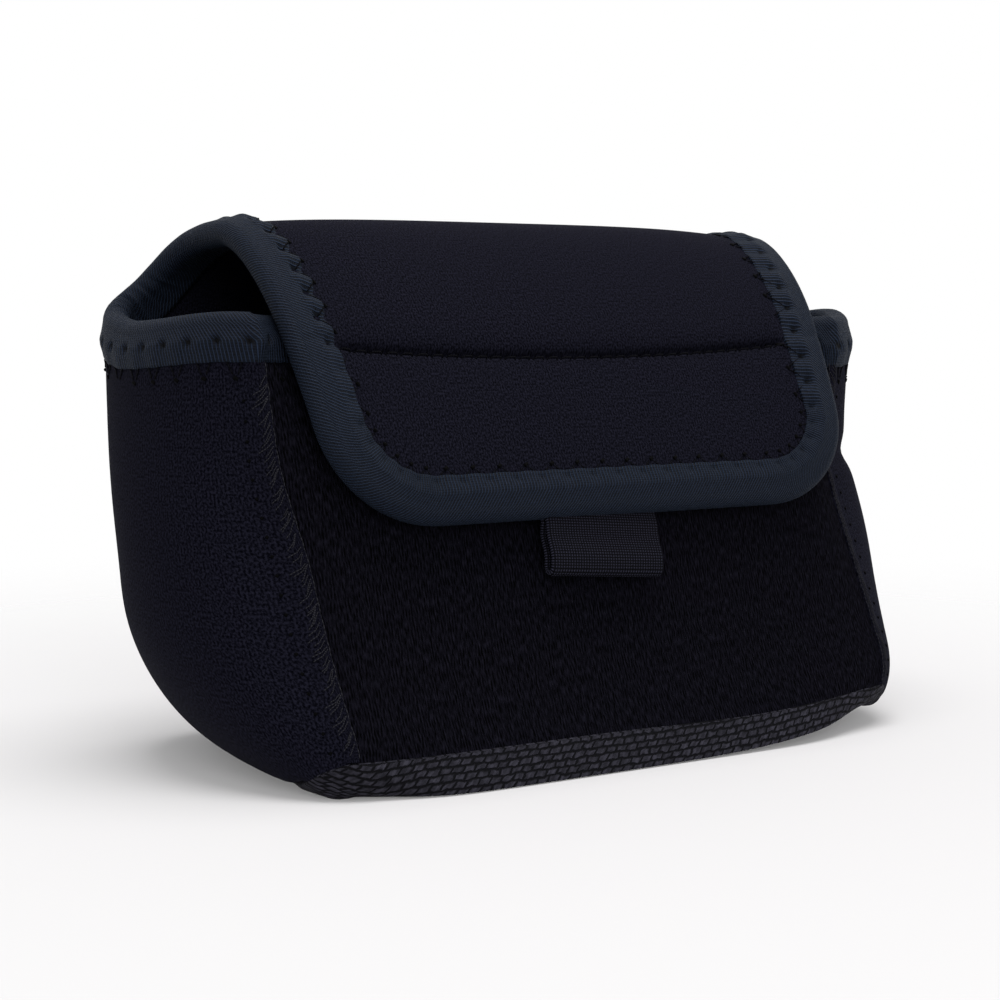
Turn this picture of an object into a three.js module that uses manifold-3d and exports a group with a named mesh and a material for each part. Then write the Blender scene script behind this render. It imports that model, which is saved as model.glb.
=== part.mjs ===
// A neoprene camera pouch with a bound flap, standing on its base.
// Millimetres, +Z up, front towards -Y. The origin is on the underside, in the middle of the base.

import * as THREE from "three";
import { mergeVertices } from "three/addons/utils/BufferGeometryUtils.js";
import Module from "manifold-3d";

const wasm = await Module();
wasm.setup();

// Cloth, tape and clearances
const NEOPRENE = 3.2; // thickness of every neoprene panel
const BASE_SHEET = 4; // thickness of the textured base
const BASE_ROUND = 3; // how far the base's underside stays in from its edge
const BASE_CORNER_ROUND = 9; // how much further at the two front corners
const BASE_CORNER_REACH = 0.1; // along the wall, as a share of the front panel's or the gusset's width
const GAP = 0.3; // clearance between neighbouring pieces
const TAPE = 0.6; // thickness of the binding tape
const BINDING_WIDTH = 8.8; // how far the binding reaches in from an edge
const BINDING_CLEARANCE = 0.42; // between the binding and the cloth inside it
const BINDING_ROUND = 1.8; // rounding of the binding along the edge
const CLOTH_ROUND = 1.2; // rounding of a panel's edge inside the binding
const THREAD_BAND_WIDTH = 5; // flat-lock stitching, across the seam
const THREAD_BAND_THICKNESS = 0.45;
const THREAD_BAND_FROM_EDGE = 1.5; // the stitching stops this far short of the base and of the binding
const THREAD_BAND_CLEARANCE = 0.4; // between the stitching and the cloth under it

// Heights
const RIM_HEIGHT = 80.6; // top of the binding round the mouth
const LIP_HEIGHT = 7; // the base turns up this far in front
const BELLY_HEIGHT = 33; // the sides and the back are fullest here
const GRIP_HEIGHT = 60; // the hook tape holds the front panel about here
const ARCH_RISE = 18.6; // the top of the flap over the rim
const STITCH_DROP = 4.4; // the sunk stitch line under the rim
const FLAP_DROP = 35.8; // the flap's lower edge under the rim

// The body's half widths and depths at the foot, the belly and the rim. The front seam joins the front
// panel and a gusset, the back seam joins that gusset and the back panel.
const FRONT_SEAM_X = { foot: 61.6, belly: 64, rim: 65 };
const FRONT_SEAM_Y = { foot: -38.6, belly: -24, rim: -10.6 };
const FRONT_MIDDLE_Y = { foot: -41, belly: -26.5, underFlap: -17, rim: -2.4 };
const BACK_SEAM_X = { foot: 45, belly: 65.5, rim: 70 };
const BACK_SEAM_Y = { foot: 29, belly: 34, rim: 35.6 };
const BACK_MIDDLE_Y = { foot: 33.5, belly: 39.5, rim: 38.6 };
const SWELL_FRONT = { foot: 9, belly: 29, rim: 20 }; // how far a gusset runs on from its front seam
const SWELL_BACK = { foot: 12, belly: 17, rim: 10 }; // how far it runs on from its back seam
// Its direction at the front seam, in degrees from straight back
const SWELL_HEADING = { foot: 62, belly: 62, rim: 52 };

// The flap, seen from the side
const ARCH_Y = 14;
const STITCH_Y = -14.8; // the sunk stitch line, where the front part bends
const FLAP_EDGE_Y = -28.4;
const FLAP_HALF_WIDTH = { fold: 71.5, arch: 60.6, stitchLine: 60, edge: 57 };
const FLAP_BOW = 1.2; // how much lower the sides of the arch lie than its middle
const FLAP_CORNER = 21; // radius of the flap's lower corners
const STITCH_SINK = 1.3; // depth of the sunk stitch line
const STITCH_SINK_WIDTH = 2.6;

// Hook tape inside the flap
const HOOK_THICKNESS = 1.2;
const HOOK_HALF_WIDTH = 42;
const HOOK_FROM_STITCH_LINE = 5;
const HOOK_FROM_EDGE = 12;

// Pull tab
const TAB_WIDTH = 23.5;
const TAB_WEBBING = 1.25; // thickness of the webbing
const TAB_LENGTH = 10.5; // below the flap's lower edge
const TAB_THICKNESS = 4.2; // across the folded loop
const TAB_X = -3; // it is sewn a little to the left of the middle
const TAB_TILT = 17; // degrees outwards from hanging straight down
const TAB_CLEARANCE = 0.7; // between the tab and the flap's lower edge

// Share of a panel over which its outward direction turns to the one that it shares with its neighbour at
// a seam
const MITRE_REACH = 0.12;

// Number of steps along the curved pieces
const PANEL_COLUMNS = 18;
const PANEL_ROWS = 8;
const FLAP_COLUMNS = 12;
const ARCH_ROWS = 14;
const CORNER_STEPS = 7;

const BLACK_CLOTH = { color: "#15151b", roughness: 0.95, metalness: 0 };
const NAVY_TAPE = { color: "#1f2c3c", roughness: 0.85, metalness: 0 };
const DARK_WEAVE = { color: "#2b2b30", roughness: 0.8, metalness: 0 };

const WALL_FOOT = BASE_SHEET + GAP;

// Equal steps from one number to another.
function steps(count, from, to) {
  return Array.from({ length: count + 1 }, (_, i) => THREE.MathUtils.lerp(from, to, i / count));
}

// Steps from one number to another that grow shorter towards both ends.
function easedSteps(count, from, to) {
  return steps(count, 0, Math.PI).map((a) => THREE.MathUtils.lerp(from, to, (1 - Math.cos(a)) / 2));
}

// The caps of a section that is a strip: its points run along one side and come back along the other.
function stripCap(size) {
  return Array.from({ length: size / 2 - 1 }, (_, i) => [
    [i, i + 1, size - 2 - i],
    [i, size - 2 - i, size - 1 - i],
  ]).flat();
}

// A closed solid through rings of points, with the same triangles for both of its ends.
function loft(rings) {
  const size = rings[0].length;
  const index = [];
  for (let r = 0; r < rings.length - 1; r++) {
    for (let i = 0; i < size; i++) {
      const a = r * size + i;
      const b = r * size + ((i + 1) % size);
      index.push(a, b, b + size, a, b + size, a + size);
    }
  }
  const last = (rings.length - 1) * size;
  for (const [a, b, c] of stripCap(size)) index.push(a, c, b, last + a, last + b, last + c);
  const geometry = new THREE.BufferGeometry();
  geometry.setFromPoints(rings.flat());
  geometry.setIndex(index);
  return facingOut(geometry);
}

// The same geometry with its faces turned out, if they point in.
function facingOut(geometry) {
  const position = geometry.getAttribute("position");
  const index = geometry.index.array;
  const corner = [0, 1, 2].map(() => new THREE.Vector3());
  let volume = 0;
  for (let i = 0; i < index.length; i += 3) {
    corner.forEach((v, k) => v.fromBufferAttribute(position, index[i + k]));
    volume += corner[0].dot(corner[1].clone().cross(corner[2]));
  }
  if (volume > 0) return geometry;
  const turned = Array.from(index);
  for (let i = 0; i < turned.length; i += 3) {
    [turned[i + 1], turned[i + 2]] = [turned[i + 2], turned[i + 1]];
  }
  geometry.setIndex(turned);
  return geometry;
}

function toSolid(geometry) {
  const bare = geometry.clone();
  bare.deleteAttribute("normal");
  bare.deleteAttribute("uv");
  const merged = mergeVertices(bare, 1e-4);
  const vertProperties = new Float32Array(merged.getAttribute("position").array);
  const triVerts = new Uint32Array(merged.index.array);
  return new wasm.Manifold(new wasm.Mesh({ numProp: 3, vertProperties, triVerts }));
}

function toGeometry(solid) {
  const { vertProperties, triVerts } = solid.getMesh();
  const geometry = new THREE.BufferGeometry();
  geometry.setAttribute("position", new THREE.BufferAttribute(new Float32Array(vertProperties), 3));
  geometry.setIndex(Array.from(triVerts));
  return geometry;
}

// A size at height z: rounded in under the belly like a quarter ellipse, then one smooth run up to the rim.
function swelling(size, z) {
  if (z < BELLY_HEIGHT) {
    const below = 1 - z / BELLY_HEIGHT;
    return THREE.MathUtils.lerp(size.foot, size.belly, Math.sqrt(1 - below * below));
  }
  const above = THREE.MathUtils.smoothstep(z, BELLY_HEIGHT, RIM_HEIGHT);
  return THREE.MathUtils.lerp(size.belly, size.rim, above);
}

// A size at height z on one smooth curve through its given heights.
function leaning(size, z) {
  const heights = { foot: 0, belly: BELLY_HEIGHT, underFlap: GRIP_HEIGHT, rim: RIM_HEIGHT };
  return Object.keys(size).reduce((sum, key) => {
    const others = Object.keys(size).filter((other) => other !== key);
    const weight = others.reduce((w, o) => (w * (z - heights[o])) / (heights[key] - heights[o]), 1);
    return sum + size[key] * weight;
  }, 0);
}

// Outside of the front panel: u runs from -1 at the left seam to 1 at the right seam.
function frontSkin(u, z) {
  const turn = 0.12 * u * u + 0.88 * Math.abs(u) ** 18;
  const y = THREE.MathUtils.lerp(leaning(FRONT_MIDDLE_Y, z), leaning(FRONT_SEAM_Y, z), turn);
  return new THREE.Vector3(u * leaning(FRONT_SEAM_X, z), y, z);
}

// Outside of the back panel, with u as above.
function backSkin(u, z) {
  const turn = 0.2 * u * u + 0.8 * Math.abs(u) ** 8;
  const y = THREE.MathUtils.lerp(swelling(BACK_MIDDLE_Y, z), swelling(BACK_SEAM_Y, z), turn);
  return new THREE.Vector3(u * swelling(BACK_SEAM_X, z), y, z);
}

// Outside of the right gusset: t runs from 0 at the front seam to 1 at the back seam.
function gussetSkin(t, z) {
  const front = frontSkin(1, z);
  const back = backSkin(1, z);
  const heading = THREE.MathUtils.degToRad(swelling(SWELL_HEADING, z));
  const onward = new THREE.Vector3(Math.sin(heading), Math.cos(heading), 0);
  const fromBack = back.clone().sub(backSkin(0.98, z)).normalize();
  const section = new THREE.CubicBezierCurve3(
    front,
    front.clone().addScaledVector(onward, swelling(SWELL_FRONT, z)),
    back.clone().addScaledVector(fromBack, swelling(SWELL_BACK, z)),
    back,
  );
  return section.getPoint(t);
}

// The whole wall is one walk round the body: w is 0 to 1 on the front, 1 to 2 on the right gusset, 2 to 3
// on the back and 3 to 4 on the left gusset. The whole numbers are the seams.
const [FRONT, RIGHT, BACK, LEFT] = Array(4).keys();

function wall(w, z) {
  const piece = Math.floor(((w % 4) + 4) % 4);
  const share = (((w % 4) + 4) % 4) - piece;
  if (piece === FRONT) return frontSkin(2 * share - 1, z);
  if (piece === RIGHT) return gussetSkin(share, z);
  if (piece === BACK) return backSkin(1 - 2 * share, z);
  const mirrored = gussetSkin(1 - share, z);
  mirrored.x *= -1;
  return mirrored;
}

// The outward direction of the wall between two nearby places on the walk.
function facing(w, ahead, z) {
  const low = Math.max(z - 0.1, 0);
  const along = wall(w + ahead, z).sub(wall(w, z)).multiplyScalar(Math.sign(ahead));
  const up = wall(w, low + 0.2).sub(wall(w, low));
  return along.cross(up).normalize();
}

// The outward direction of the wall. Both pieces at a seam turn to one shared direction there, so that
// they meet edge to edge.
function outward(w, z) {
  const seam = Math.round(w);
  const away = Math.abs(w - seam);
  const step = 0.004;
  const shared = facing(seam, -step, z).add(facing(seam, step, z)).normalize();
  if (away < 1e-6) return shared;
  const own = facing(w, w < seam ? -step : step, z);
  const share = THREE.MathUtils.smoothstep(away, 0, MITRE_REACH);
  return shared.multiplyScalar(1 - share).addScaledVector(own, share).normalize();
}

// A point on the wall, moved outwards.
function wallPoint(w, z, out) {
  return wall(w, z).addScaledVector(outward(w, z), out);
}

// A walk along one piece of the wall that stops half a gap short of the seam at each end. Its steps are
// shorter near the seams.
function pieceWalk(piece) {
  const half = GAP / 2 + 0.05;
  const z = BELLY_HEIGHT;
  const startSpeed = wall(piece + 0.01, z).distanceTo(wall(piece + 1e-6, z)) / 0.01;
  const endSpeed = wall(piece + 1 - 1e-6, z).distanceTo(wall(piece + 0.99, z)) / 0.01;
  return easedSteps(PANEL_COLUMNS, piece + half / startSpeed, piece + 1 - half / endSpeed);
}

// A solid that runs along a piece of the wall: section lists its corners as distance outwards and height.
// Nothing of it comes below the height given as foot, and inset gives how far it stays in from the wall.
function alongWall(piece, section, foot, inset = () => 0) {
  const rings = pieceWalk(piece).map((w) => section.map(({ x, y }) => {
    const point = wallPoint(w, y, x - inset(w, y));
    return point.setZ(Math.max(point.z, foot));
  }));
  return loft(rings);
}

// The section of a neoprene wall: the outside going up through the given heights, then the inside coming
// down. Its top edge is rounded where a binding holds it.
function sheetSection(heights, top, topRound) {
  const section = heights.map((z) => new THREE.Vector2(0, z));
  if (topRound > 0) {
    section.push(new THREE.Vector2(-topRound, top));
    section.push(new THREE.Vector2(topRound - NEOPRENE, top));
  }
  heights.toReversed().forEach((z) => section.push(new THREE.Vector2(-NEOPRENE, z)));
  return section;
}

// The binding's section, folded over an edge: x is the distance outwards from the panel's face and y is
// measured inwards from the binding's own edge.
function bindingSection() {
  const out = BINDING_CLEARANCE + TAPE;
  const inside = -NEOPRENE - BINDING_CLEARANCE - TAPE;
  const web = TAPE + GAP / 2;
  const innerRound = BINDING_ROUND - TAPE;
  return [
    [out, BINDING_WIDTH],
    [out, BINDING_ROUND],
    [out - BINDING_ROUND, 0],
    [inside + BINDING_ROUND, 0],
    [inside, BINDING_ROUND],
    [inside, BINDING_WIDTH],
    [inside + TAPE, BINDING_WIDTH],
    [inside + TAPE, web + innerRound],
    [inside + TAPE + innerRound, web],
    [out - TAPE - innerRound, web],
    [out - TAPE, web + innerRound],
    [out - TAPE, BINDING_WIDTH],
  ].map(([x, y]) => new THREE.Vector2(x, y));
}

function wallPanel(piece, foot) {
  const underBinding = steps(PANEL_ROWS, foot, RIM_HEIGHT - BINDING_WIDTH);
  const inBinding = RIM_HEIGHT - (BINDING_WIDTH + BINDING_ROUND) / 2;
  const top = piece === BACK ? RIM_HEIGHT - GAP / 2 : RIM_HEIGHT - TAPE - GAP;
  const topRound = piece === BACK ? 0 : CLOTH_ROUND;
  const section = sheetSection([...underBinding, inBinding, top - topRound], top, topRound);
  return alongWall(piece, section, WALL_FOOT);
}

function rimBinding(piece) {
  const section = bindingSection().flatMap((corner, i, all) => {
    const next = all[(i + 1) % all.length];
    const alongLeg = Math.abs(next.y - corner.y) > BINDING_WIDTH / 2;
    return alongLeg ? [corner, corner.clone().lerp(next, 0.5)] : [corner];
  }).map(({ x, y }) => new THREE.Vector2(x, RIM_HEIGHT - y));
  return alongWall(piece, section, WALL_FOOT);
}

// How far the base stays in from the wall, as it rounds in under its edge and further under the two front
// corners.
function baseInset(w, z) {
  const roundedIn = (rise) => 1 - Math.sqrt(rise * (2 - rise));
  const toCorner = Math.min(Math.abs(w), Math.abs(w - RIGHT), Math.abs(w - LEFT - 1));
  const cornerShare = Math.exp(-((toCorner / BASE_CORNER_REACH) ** 2));
  const edge = BASE_ROUND * roundedIn(Math.min(z / BASE_SHEET, 1));
  return edge + BASE_CORNER_ROUND * cornerShare * roundedIn(Math.min(z / LIP_HEIGHT, 1));
}

// The base: a flat sheet that turns up in front as far as the front panel. Its outline starts in the
// middle of the left gusset, so that the strips of its flat faces run from front to back.
function basePanel() {
  const left = pieceWalk(LEFT);
  const half = Math.floor(left.length / 2);
  const others = [FRONT, RIGHT, BACK].flatMap((piece) => pieceWalk(piece));
  const walk = [...left.slice(half), ...others, ...left.slice(0, half)];
  const rings = steps(4, 0, BASE_SHEET).map((z) => (
    walk.map((w) => wallPoint(w, z, -baseInset(w, z)).setZ(z))
  ));
  const turnedUp = sheetSection(steps(2, 0.8 * BASE_SHEET, LIP_HEIGHT), LIP_HEIGHT, 0);
  const lip = alongWall(FRONT, turnedUp, BASE_SHEET / 2, baseInset);
  return toGeometry(toSolid(loft(rings)).add(toSolid(lip)));
}

// Flat-lock stitching laid over the seam after a piece of the wall, from one height to another.
function seamBand(seam, low, high) {
  const rings = steps(PANEL_ROWS, low, high).map((z) => {
    const out = outward(seam, z);
    const across = new THREE.Vector3(0, 0, 1).cross(out).normalize();
    const corner = (side, lift) => wall(seam, z)
      .addScaledVector(across, (side * THREAD_BAND_WIDTH) / 2)
      .addScaledVector(out, lift);
    const under = THREAD_BAND_CLEARANCE;
    const top = under + THREAD_BAND_THICKNESS;
    return [corner(-1, under), corner(1, under), corner(1, top), corner(-1, top)];
  });
  return loft(rings);
}

// The flap's line seen from the side: up from the back fold, over the arch and down the front. Each
// curve's two middle points are given as shares of the way from its start to its end.
const FOLD = new THREE.Vector2(BACK_MIDDLE_Y.rim, RIM_HEIGHT);
const ARCH = new THREE.Vector2(ARCH_Y, RIM_HEIGHT + ARCH_RISE);
const STITCH_LINE = new THREE.Vector2(STITCH_Y, RIM_HEIGHT - STITCH_DROP);
const FLAP_EDGE = new THREE.Vector2(FLAP_EDGE_Y, RIM_HEIGHT - FLAP_DROP);

function profileCurve(start, end, ...shares) {
  const across = end.clone().sub(start);
  const middle = shares.map((share) => across.clone().multiply(share).add(start));
  return new THREE.CubicBezierCurve(start, ...middle, end);
}

const archBack = profileCurve(FOLD, ARCH, new THREE.Vector2(0, 0.72), new THREE.Vector2(0.5, 1));
const archFront = profileCurve(ARCH, STITCH_LINE, new THREE.Vector2(0.38, 0), new THREE.Vector2(0.8, 0.62));
const frontFall = profileCurve(
  STITCH_LINE,
  FLAP_EDGE,
  new THREE.Vector2(0.42, 0.3),
  new THREE.Vector2(0.85, 0.66),
);
const profile = new THREE.CurvePath();
profile.add(archBack);
profile.add(archFront);
profile.add(frontFall);

const FLAP_LENGTH = profile.getLength();
const ARCH_AT = archBack.getLength();
const STITCH_AT = ARCH_AT + archFront.getLength();

// Half width of the flap at a distance along it from the back fold, to the outside of the binding.
function flapHalfWidth(s) {
  const { fold, arch, stitchLine, edge } = FLAP_HALF_WIDTH;
  if (s < ARCH_AT) return THREE.MathUtils.lerp(fold, arch, Math.sin((0.5 * Math.PI * s) / ARCH_AT));
  if (s < STITCH_AT) return THREE.MathUtils.mapLinear(s, ARCH_AT, STITCH_AT, arch, stitchLine);
  return THREE.MathUtils.mapLinear(s, STITCH_AT, FLAP_LENGTH, stitchLine, edge);
}

// A place on the flap: x across it, s along it from the back fold, out away from its face. Near the fold
// its sides turn forwards as the back panel's do. The stitch line is sunk into the outside and leaves the
// inside as it is.
function flapPoint(x, s, out) {
  const share = THREE.MathUtils.clamp(s / FLAP_LENGTH, 0, 1);
  const { x: y, y: z } = profile.getPointAt(share);
  const tangent = profile.getTangentAt(share);
  const normal = new THREE.Vector3(0, tangent.y, -tangent.x);
  const turn = backSkin(Math.min(Math.abs(x) / BACK_SEAM_X.rim, 1), RIM_HEIGHT).y - FOLD.x;
  const fade = 1 - THREE.MathUtils.smoothstep(s, 0, ARCH_AT);
  const away = (s - STITCH_AT) / STITCH_SINK_WIDTH;
  const sunk = STITCH_SINK * Math.exp(-away * away) * THREE.MathUtils.clamp(1 + out / NEOPRENE, 0, 1);
  const bowed = s < ARCH_AT ? 1 - fade : 1 - THREE.MathUtils.smoothstep(s, ARCH_AT, STITCH_AT);
  const bow = FLAP_BOW * bowed * (x / FLAP_HALF_WIDTH.arch) ** 4;
  return new THREE.Vector3(x, y + turn * fade, z).addScaledVector(normal, out - sunk - bow);
}

// The distances from the back fold at which the flap is drawn, in the part over the top and in the part in
// front down to where its lower corners begin. They lie closer together at the stitch line.
const CORNER_FROM = FLAP_LENGTH - FLAP_CORNER;
const NEAR_STITCHES = [2, 1, 0.5].map((share) => share * STITCH_SINK_WIDTH);
const TOP_STATIONS = [
  ...steps(ARCH_ROWS, GAP / 2, STITCH_AT - 3 * STITCH_SINK_WIDTH),
  ...NEAR_STITCHES.map((away) => STITCH_AT - away),
  STITCH_AT - GAP / 2,
];
const FRONT_STATIONS = [
  STITCH_AT + GAP / 2,
  ...NEAR_STITCHES.toReversed().map((away) => STITCH_AT + away),
  ...steps(2, STITCH_AT + 3 * STITCH_SINK_WIDTH, CORNER_FROM),
];

// Inside the binding the neoprene's own lower corners have this radius, round this distance from the
// middle.
const IN_BINDING = TAPE + GAP;
const CLOTH_CORNER = FLAP_CORNER - IN_BINDING;
const CORNER_X = flapHalfWidth(CORNER_FROM) - FLAP_CORNER;

// How far a face of the flap's neoprene is rounded off at a place, from its distance to the lower edge and
// corners.
function roundedOff(x, s) {
  const past = Math.max(s - CORNER_FROM, 0);
  const beyond = Math.max(Math.abs(x) - CORNER_X, 0);
  const toEdge = past > 0 ? CLOTH_CORNER - Math.hypot(beyond, past) : CLOTH_ROUND;
  return THREE.MathUtils.clamp(CLOTH_ROUND - toEdge, 0, CLOTH_ROUND);
}

// One ring across the flap's neoprene, at a distance from the fold.
function flapRing(halfWidth, s) {
  const columns = easedSteps(FLAP_COLUMNS, CLOTH_ROUND - halfWidth, halfWidth - CLOTH_ROUND);
  return [
    flapPoint(-halfWidth, s, -CLOTH_ROUND),
    ...columns.map((x) => flapPoint(x, s, -roundedOff(x, s))),
    flapPoint(halfWidth, s, -CLOTH_ROUND),
    flapPoint(halfWidth, s, CLOTH_ROUND - NEOPRENE),
    ...columns.toReversed().map((x) => flapPoint(x, s, roundedOff(x, s) - NEOPRENE)),
    flapPoint(-halfWidth, s, CLOTH_ROUND - NEOPRENE),
  ];
}

function flapTop() {
  return loft(TOP_STATIONS.map((s) => flapRing(flapHalfWidth(s) - IN_BINDING, s)));
}

function flapFront() {
  const straight = FRONT_STATIONS.map((s) => flapRing(flapHalfWidth(s) - IN_BINDING, s));
  const corner = steps(CORNER_STEPS, 0, Math.PI / 2).slice(1, -1).map((a) => (
    flapRing(CORNER_X + CLOTH_CORNER * Math.cos(a), CORNER_FROM + CLOTH_CORNER * Math.sin(a))
  ));
  return loft([...straight, ...corner, flapRing(CORNER_X + CLOTH_ROUND, FLAP_LENGTH - IN_BINDING)]);
}

// A binding along the flap's edge. Each stop is a place on the edge and the way in from it, in the flat.
function edgeBinding(stops) {
  return loft(stops.map(({ x, s, inX, inS }) => bindingSection().map(({ x: out, y: depth }) => (
    flapPoint(x + inX * depth, s + inS * depth, out)
  ))));
}

function sideStops(stations, side) {
  return stations.map((s) => ({ x: side * flapHalfWidth(s), s, inX: -side, inS: 0 }));
}

// The stops round one lower corner, from the side to the lower edge.
function cornerStops(side) {
  return steps(CORNER_STEPS, 0, Math.PI / 2).slice(1).map((a) => ({
    x: side * (CORNER_X + FLAP_CORNER * Math.cos(a)),
    s: CORNER_FROM + FLAP_CORNER * Math.sin(a),
    inX: -side * Math.cos(a),
    inS: -Math.sin(a),
  }));
}

function flapFrontBinding() {
  const left = [...sideStops(FRONT_STATIONS, -1), ...cornerStops(-1)];
  const right = [...sideStops(FRONT_STATIONS, 1), ...cornerStops(1)].reverse();
  const lower = steps(FLAP_COLUMNS / 2, left.at(-1).x, right[0].x).slice(1, -1);
  return edgeBinding([...left, ...lower.map((x) => ({ x, s: FLAP_LENGTH, inX: 0, inS: -1 })), ...right]);
}

function hookTape() {
  const out = -NEOPRENE - GAP;
  const columns = steps(FLAP_COLUMNS / 2, -HOOK_HALF_WIDTH, HOOK_HALF_WIDTH);
  return loft(steps(5, STITCH_AT + HOOK_FROM_STITCH_LINE, FLAP_LENGTH - HOOK_FROM_EDGE).map((s) => [
    ...columns.map((x) => flapPoint(x, s, out)),
    ...columns.toReversed().map((x) => flapPoint(x, s, out - HOOK_THICKNESS)),
  ]));
}

// The pull tab: webbing folded into a hairpin, drawn from the side and extruded across its width.
function pullTab() {
  const outer = TAB_THICKNESS / 2;
  const inner = outer - TAB_WEBBING;
  const bend = TAB_LENGTH - outer;
  const shape = new THREE.Shape();
  shape.moveTo(0, outer);
  shape.lineTo(bend, outer);
  shape.absarc(bend, 0, outer, Math.PI / 2, -Math.PI / 2, true);
  shape.lineTo(0, -outer);
  shape.lineTo(0, -inner);
  shape.lineTo(bend, -inner);
  shape.absarc(bend, 0, inner, -Math.PI / 2, Math.PI / 2, false);
  shape.lineTo(0, inner);
  shape.closePath();
  const tab = new THREE.ExtrudeGeometry(shape, { depth: TAB_WIDTH, bevelEnabled: false, curveSegments: 8 });
  const tilt = THREE.MathUtils.degToRad(TAB_TILT);
  const down = new THREE.Vector3(0, -Math.sin(tilt), -Math.cos(tilt));
  const across = new THREE.Vector3(1, 0, 0);
  tab.applyMatrix4(new THREE.Matrix4().makeBasis(down, across.clone().cross(down), across));
  const root = flapPoint(TAB_X, FLAP_LENGTH, -NEOPRENE / 2).addScaledVector(down, TAB_CLEARANCE);
  return tab.translate(root.x - TAB_WIDTH / 2, root.y, root.z);
}

const pouch = new THREE.Group();

function add(name, geometry, look, parent = pouch) {
  const mesh = new THREE.Mesh(geometry, new THREE.MeshStandardMaterial(look));
  mesh.name = name;
  parent.add(mesh);
  return mesh;
}

add("base_panel", basePanel(), DARK_WEAVE);
add("front_panel", wallPanel(FRONT, LIP_HEIGHT + GAP), BLACK_CLOTH);
add("right_gusset", wallPanel(RIGHT, WALL_FOOT), BLACK_CLOTH);
add("back_panel", wallPanel(BACK, WALL_FOOT), BLACK_CLOTH);
add("left_gusset", wallPanel(LEFT, WALL_FOOT), BLACK_CLOTH);
add("front_rim_binding", rimBinding(FRONT), NAVY_TAPE);
add("right_rim_binding", rimBinding(RIGHT), NAVY_TAPE);
add("left_rim_binding", rimBinding(LEFT), NAVY_TAPE);

const bandTop = RIM_HEIGHT - BINDING_WIDTH - THREAD_BAND_FROM_EDGE;
const frontBandFoot = LIP_HEIGHT + THREAD_BAND_FROM_EDGE;
const backBandFoot = WALL_FOOT + THREAD_BAND_FROM_EDGE;
add("front_left_seam", seamBand(FRONT, frontBandFoot, bandTop), BLACK_CLOTH);
add("front_right_seam", seamBand(RIGHT, frontBandFoot, bandTop), BLACK_CLOTH);
add("back_right_seam", seamBand(BACK, backBandFoot, bandTop), BLACK_CLOTH);
add("back_left_seam", seamBand(LEFT, backBandFoot, bandTop), BLACK_CLOTH);

const flap = new THREE.Group();
pouch.add(flap);
add("flap_top", flapTop(), BLACK_CLOTH, flap);
add("flap_left_binding", edgeBinding(sideStops(TOP_STATIONS, -1)), NAVY_TAPE, flap);
add("flap_right_binding", edgeBinding(sideStops(TOP_STATIONS, 1)), NAVY_TAPE, flap);

const frontPart = new THREE.Group();
flap.add(frontPart);
add("flap_front", flapFront(), BLACK_CLOTH, frontPart);
add("flap_front_binding", flapFrontBinding(), NAVY_TAPE, frontPart);
add("hook_tape", hookTape(), BLACK_CLOTH, frontPart);
add("pull_tab", pullTab(), DARK_WEAVE, frontPart);

export default pouch;
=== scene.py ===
# A neoprene camera pouch with a bound flap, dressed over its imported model.
# Shapes are worked out in millimetres and written in metres. +Z is up and the front faces -Y.

import math

import bpy
import numpy as np
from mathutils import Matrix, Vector


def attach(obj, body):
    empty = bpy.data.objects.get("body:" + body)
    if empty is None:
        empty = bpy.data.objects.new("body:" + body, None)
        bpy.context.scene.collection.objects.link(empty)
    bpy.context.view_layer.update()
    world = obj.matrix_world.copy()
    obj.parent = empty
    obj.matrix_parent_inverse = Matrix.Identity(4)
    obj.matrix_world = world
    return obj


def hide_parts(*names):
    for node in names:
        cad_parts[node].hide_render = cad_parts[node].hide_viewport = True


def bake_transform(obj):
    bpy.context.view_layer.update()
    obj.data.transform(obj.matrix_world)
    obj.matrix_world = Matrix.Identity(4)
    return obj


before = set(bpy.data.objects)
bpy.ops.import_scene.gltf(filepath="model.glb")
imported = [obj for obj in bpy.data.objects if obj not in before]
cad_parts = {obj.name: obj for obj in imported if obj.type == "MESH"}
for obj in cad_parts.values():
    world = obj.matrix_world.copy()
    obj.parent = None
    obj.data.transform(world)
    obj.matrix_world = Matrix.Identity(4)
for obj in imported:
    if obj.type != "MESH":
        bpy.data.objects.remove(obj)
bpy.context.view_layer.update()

# Camera: front left, at the height of the rim
CAMERA_PLACE = (-0.2293, -0.3354, 0.0813)
CAMERA_LENS = 75.6
CAMERA_DOWN = 5.07  # degrees below level
CAMERA_ROUND = 33.5  # degrees to the right of straight back


def make_camera():
    lens = bpy.data.cameras.new("camera")
    lens.sensor_width = 36
    lens.lens = CAMERA_LENS
    camera = bpy.data.objects.new("camera", lens)
    camera.location = CAMERA_PLACE
    camera.rotation_euler = (math.radians(90 - CAMERA_DOWN), 0, math.radians(-CAMERA_ROUND))
    bpy.context.scene.collection.objects.link(camera)
    bpy.context.scene.camera = camera


make_camera()

# Cloth and tape
NEOPRENE = 3.2
TAPE_WIDTH = 8.8  # from the fold of the binding to its sewn edge
TAPE_STEP = 0.6  # distance between the rings of points along a binding
STITCH_PITCH = 5.6  # of the zigzag
LADDER_PITCH = 3.2  # of the flat-lock seams
STRAIGHT_PITCH = 3.1  # of the stitches in the sunk line
THREAD = 0.15  # radius
EDGE_ROUND = 1.3  # rounding of a cut edge of neoprene
IN_TAPE = 0.9  # from the fold of the binding to the cut edge of the cloth inside it
SEAM_GAP = 0.08  # between a panel and the middle of its seam
LAP = 1.2  # of the base's turned-up edge over the wall
WEBBING_HALF = 0.62  # half of the webbing's thickness

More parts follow.
